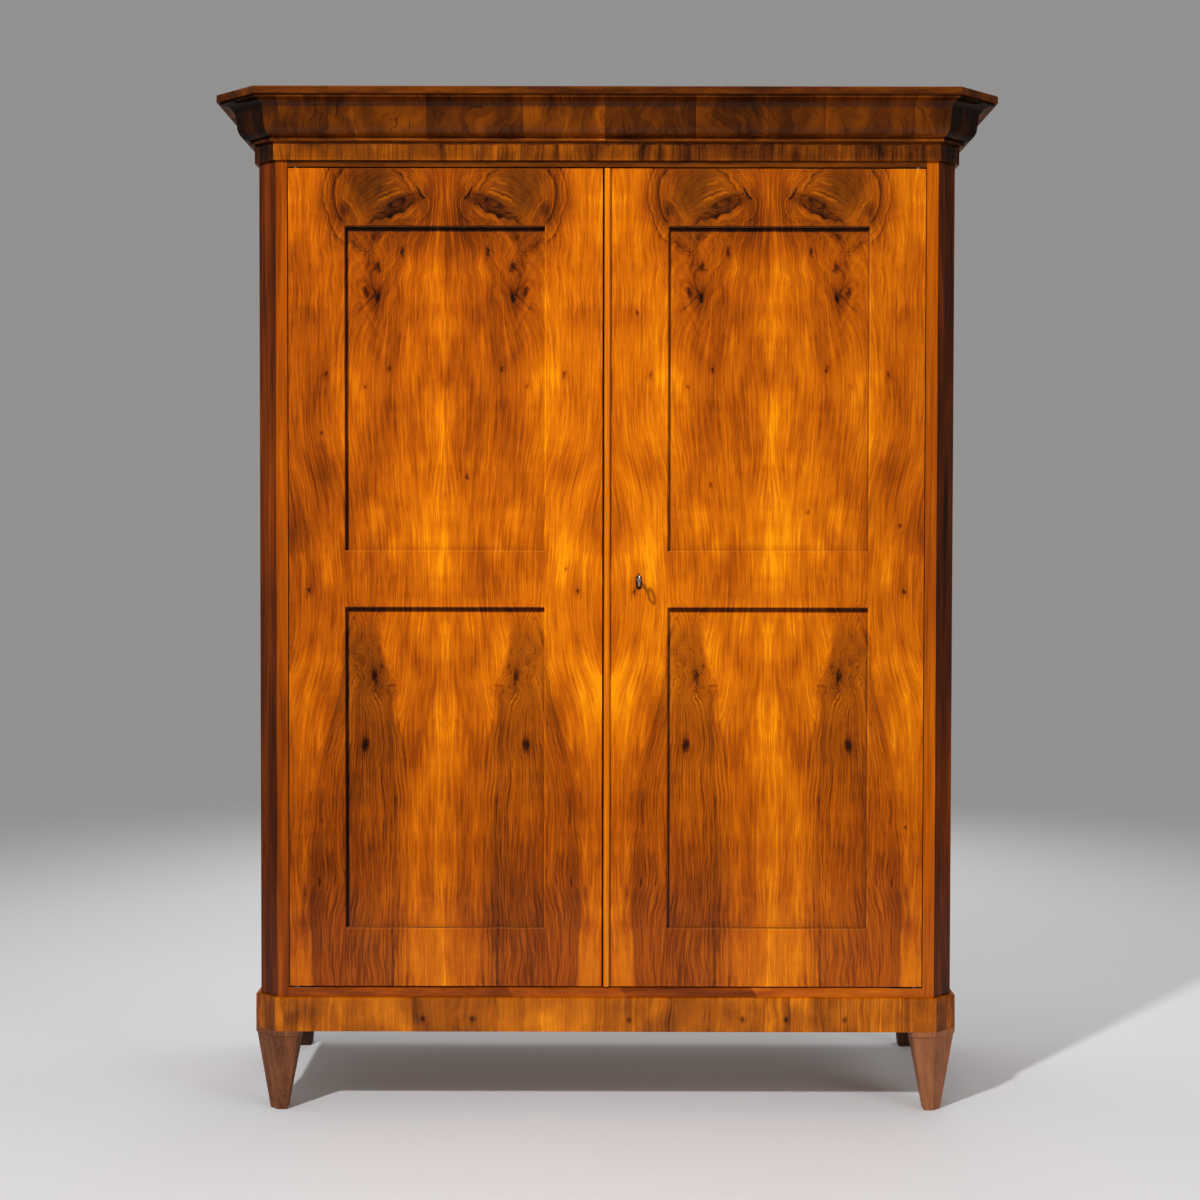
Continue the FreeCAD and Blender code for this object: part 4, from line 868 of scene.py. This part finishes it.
def metal_finish(name, dark, bright, rough, relief):
    """Two shades of one metal mixed by soft patches, with fine scratches in the roughness."""
    made, place, _ = new_finish(name)
    x, y, z = place.split()
    patch = noise(point(x * 110, y * 110, z * 110), detail=4, rough=0.6)
    scratch = noise(point(x * 1500, y * 300, z * 1500), detail=2)
    colour = (patch * 0.9 + 0.5).ramp([(0.2, dark), (0.8, bright)])
    rough = rough + patch * 0.2 + scratch * 0.1
    return lay(made, colour, rough, patch, relief=relief, coat=0, specular=0.5, metal=1.0)


lock_iron = ["lock_case", "lock_bolt", "bolt_guides", "left_top_bolt", "left_bottom_bolt"]
pivot_iron = ["pivot_sockets", "left_door_pivots", "right_door_pivots"]
forged_iron = metal_finish("forged_iron", (0.045, 0.040, 0.037), (0.16, 0.145, 0.135), 0.46, 0.0004)
dress(lock_iron + pivot_iron, forged_iron)
key_steel = metal_finish("key_steel", (0.22, 0.21, 0.20), (0.62, 0.61, 0.60), 0.26, 0.0002)
browned_brass = metal_finish("browned_brass", (0.020, 0.012, 0.006), (0.085, 0.052, 0.022), 0.42, 0.0002)
dress(["escutcheon"], browned_brass)

# %% [markdown]
# ## Surfaces from grids
# The last pieces are round and small, so they are worked out here as surfaces: a function gives a point for
# each pair of parameters, whole arrays at a time, and the grid of points becomes a mesh. A grid closes on
# itself along one parameter, and a ring along both. The volume inside tells whether the faces look outward;
# if it comes out negative, they are turned.

# %% Grid meshes


def turn_steps(steps):
    """Equal angles of one whole turn, without the last, which is the first again."""
    return np.arange(steps) * 2 * np.pi / steps


def shell(grid, wrap_rows=False):
    """Points of a grid as a list, and the corners of each cell; columns always close on themselves."""
    rows, columns = grid.shape[:2]
    i, j = np.meshgrid(np.arange(rows if wrap_rows else rows - 1), np.arange(columns), indexing="ij")
    below, beside = (i + 1) % rows, (j + 1) % columns
    cells = [i * columns + j, below * columns + j, below * columns + beside, i * columns + beside]
    return grid.reshape(-1, 3), np.stack(cells, -1).reshape(-1, 4)


def volume(points, faces):
    """Six times the signed volume: the triple products of each four-cornered face's triangles, added up."""
    a, b, c, d = (points[faces[:, k]] for k in range(4))
    return np.sum(np.cross(a, b) * c) + np.sum(np.cross(a, c) * d)


def piece(name, shells, finish):
    """One mesh object at the origin, with its shells outward, smooth and dressed."""
    points, faces, start = [], [], 0
    for part_points, part_faces in shells:
        part_faces = part_faces if volume(part_points, part_faces) > 0 else part_faces[:, ::-1]
        points.append(part_points)
        faces.append(part_faces + start)
        start += len(part_points)
    mesh = bpy.data.meshes.new(name)
    mesh.from_pydata(np.concatenate(points).tolist(), [], np.concatenate(faces).tolist())
    mesh.validate()
    mesh.polygons.foreach_set("use_smooth", np.ones(len(mesh.polygons), dtype=bool))
    mesh.materials.append(finish)
    made = bpy.data.objects.new(name, mesh)
    scene.collection.objects.link(made)
    print(name, len(mesh.polygons), "faces")
    return made


# %% [markdown]
# ## The key
# A turned steel key: a ring to hold, a collar, a round shank with a bead on it, and a bit that is filed to
# pass the wards. CAD keeps it plain, eight-sided. Here the ring is a bar swept round a circle, and the
# shank is a profile turned about its axis, with each corner of the profile given twice so that it shades
# crisp. The bit is a thin plate with a notch.

# %% Key
KEY_X, KEY_Z, BOW_Y = 0.0630, 1.0435, -0.2890
BOW_RADIUS, BAR_RADIUS, BAR_FLATTENED = 0.0115, 0.0025, 0.92
BIT_HALF = 0.0015
COLLAR = [(-0.2790, 0.0), (-0.2790, 0.0024), (-0.2776, 0.0040), (-0.2768, 0.0045), (-0.2748, 0.0045)]
COLLAR += [(-0.2740, 0.0040), (-0.2735, 0.0030), (-0.2735, 0.0030)]
BEAD = [(-0.2672, 0.0030), (-0.2668, 0.0036), (-0.2655, 0.0038), (-0.2642, 0.0036), (-0.2638, 0.0030)]
BEAD += [(-0.2638, 0.0030)]
END = [(-0.2190, 0.0030), (-0.2190, 0.0030), (-0.2183, 0.0023), (-0.2183, 0.0023), (-0.2183, 0.0)]
BIT = [(-0.2280, 1.0435), (-0.2280, 1.0295), (-0.2250, 1.0295), (-0.2250, 1.0335)]
BIT += [(-0.2230, 1.0335), (-0.2230, 1.0295), (-0.2200, 1.0295), (-0.2200, 1.0435)]


def swept_ring(around=96, across=24):
    """A bar round a circle in y and z: circle radius plus bar radius times a cosine; x is the bar's sine."""
    turn_a, turn_b = np.meshgrid(turn_steps(around), turn_steps(across), indexing="ij")
    reach = BOW_RADIUS + BAR_RADIUS * np.cos(turn_b)
    x = KEY_X + BAR_FLATTENED * BAR_RADIUS * np.sin(turn_b)
    return np.stack([x, BOW_Y + reach * np.cos(turn_a), KEY_Z + reach * np.sin(turn_a)], -1)


def turned_along_y(profile, spokes=40):
    """A profile of place and radius turned about the key's axis: radius times cosine and sine."""
    where, radius = np.array(profile).T
    angle = turn_steps(spokes)
    x, z = KEY_X + np.outer(radius, np.cos(angle)), KEY_Z + np.outer(radius, np.sin(angle))
    return np.stack([x, np.repeat(where[:, None], spokes, 1), z], -1)


def plate(outline, middle, half):
    """An outline in y and z carried through its thickness, each face drawn in to the outline's middle."""
    rim = np.array(outline)
    centre = rim.mean(0)
    share = np.array([0, 1, 1, 1, 1, 0])[:, None, None]
    x = middle + half * np.array([-1, -1, -1, 1, 1, 1])[:, None, None]
    return np.concatenate([np.broadcast_to(x, (6, len(rim), 1)), centre + (rim - centre) * share], -1)


bow, shank = shell(swept_ring(), wrap_rows=True), shell(turned_along_y(COLLAR + BEAD + END))
key = piece("key_turned", [bow, shank, shell(plate(BIT, KEY_X, BIT_HALF))], key_steel)
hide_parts("key")
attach(key, "key")

# %% [markdown]
# ## Screws
# The lock is held by four slotted screws and each bolt guide by two. A head is a low dome on a grid of
# rings and spokes; its slot is where the distance from one diameter is small, and there the dome is pushed
# down. Each slot stands at its own angle, as a hand leaves it.

# %% Screw heads
LOCK_SCREWS = [(0.0135, 1.0050), (0.0855, 1.0050), (0.0135, 1.0820), (0.0855, 1.0820)]
GUIDE_SCREWS = [(-0.0645 + side * 0.00865, up) for side in (-1, 1) for up in (0.2675, 0.3915, 1.6950, 1.8190)]
LOCK_FACE, LOCK_HEAD = -0.2160, 0.0030
GUIDE_FACE, GUIDE_HEAD = -0.2054, 0.0024
SUNK = 0.0004
DOME, RIM, FLOOR_OF_SLOT, SLOT_DEPTH, SLOT_HALF, SLOT_SLOPE = 0.30, 0.10, 0.02, 0.28, 0.19, 0.05


def screw_head(x, y, z, radius, turn, rings=22, spokes=72):
    """Dome over y: height times one less the squared share of the radius, less a slot on one diameter."""
    share, angle = np.meshgrid(np.linspace(0, 1, rings), turn_steps(spokes), indexing="ij")
    height = DOME * radius * (1 - share**2) + RIM * radius * (share < 1)
    off_slot = np.abs(share * np.sin(angle - turn))
    slot = SLOT_DEPTH * radius * np.clip((SLOT_HALF - off_slot) / SLOT_SLOPE, 0, 1)
    lift = np.maximum(height - slot, FLOOR_OF_SLOT * radius * (share < 1))
    top = np.stack([x + radius * share * np.cos(angle), y + lift, z + radius * share * np.sin(angle)], -1)
    foot = np.stack([top[-1, :, 0], np.full(spokes, y - SUNK), top[-1, :, 2]], -1)
    middle = np.broadcast_to([x, y - SUNK, z], foot.shape)
    return shell(np.concatenate([top, foot[None], middle[None]]))


def heads(places, face, radius, turns):
    """Screw heads of one size on one face, each with its own turn."""
    return [screw_head(x, face, z, radius, turn) for (x, z), turn in zip(places, turns)]


turns = np.random.default_rng(7).uniform(0, np.pi, len(LOCK_SCREWS + GUIDE_SCREWS))
lock_heads = heads(LOCK_SCREWS, LOCK_FACE, LOCK_HEAD, turns)
guide_heads = heads(GUIDE_SCREWS, GUIDE_FACE, GUIDE_HEAD, turns[len(LOCK_SCREWS) :])
groups = [("lock_screws", lock_heads, "right_door"), ("guide_screws", guide_heads, "left_door")]
for name, group, body in groups:
    made = piece(name, group, forged_iron)
    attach(made, body)

# %% [markdown]
# ## The floor
# A pale floor catches the shadow under the feet. A disc that grows clear towards its rim has no visible
# edge from any side, which a square sheet or a wall would have.

# %% Floor
FLOOR_RADIUS, CLEAR_FROM, CLEAR_SHARE = 5.5, 2.2, 0.95
FLOOR_PAINT = [(0.3, (0.78, 0.79, 0.81)), (0.7, (0.82, 0.83, 0.85))]


def disc(radius, rings, spokes):
    """A flat disc: cosine and sine of an angle times a share of the radius, on a grid of rings and spokes."""
    share, angle = np.meshgrid(np.linspace(0, 1, rings), turn_steps(spokes), indexing="ij")
    return np.stack([radius * share * np.cos(angle), radius * share * np.sin(angle), 0 * share], -1)


made, place, _ = new_finish("floor_paint")
x, y, _ = place.split()
speck = noise(point(x * 3, y * 3, 0.0), detail=4)
colour = (speck * 0.04 + 0.5).ramp(FLOOR_PAINT)
lay(made, colour, 0.55 + speck * 0.05, speck, relief=0.0005, coat=0.0)
tree = made.node_tree
painted, clear = Wire(tree, tree.nodes["Principled BSDF"].outputs[0]), place.node("BsdfTransparent")
rim = (x * x + y * y).root().fade(CLEAR_FROM, FLOOR_RADIUS * CLEAR_SHARE)
mixed = rim.node("MixShader", inputs={0: rim, 1: painted, 2: clear})
tree.links.new(mixed.socket, tree.nodes["Material Output"].inputs["Surface"])
floor = piece("floor", [shell(disc(FLOOR_RADIUS, 12, 96))], made)
print("floor radius", FLOOR_RADIUS)
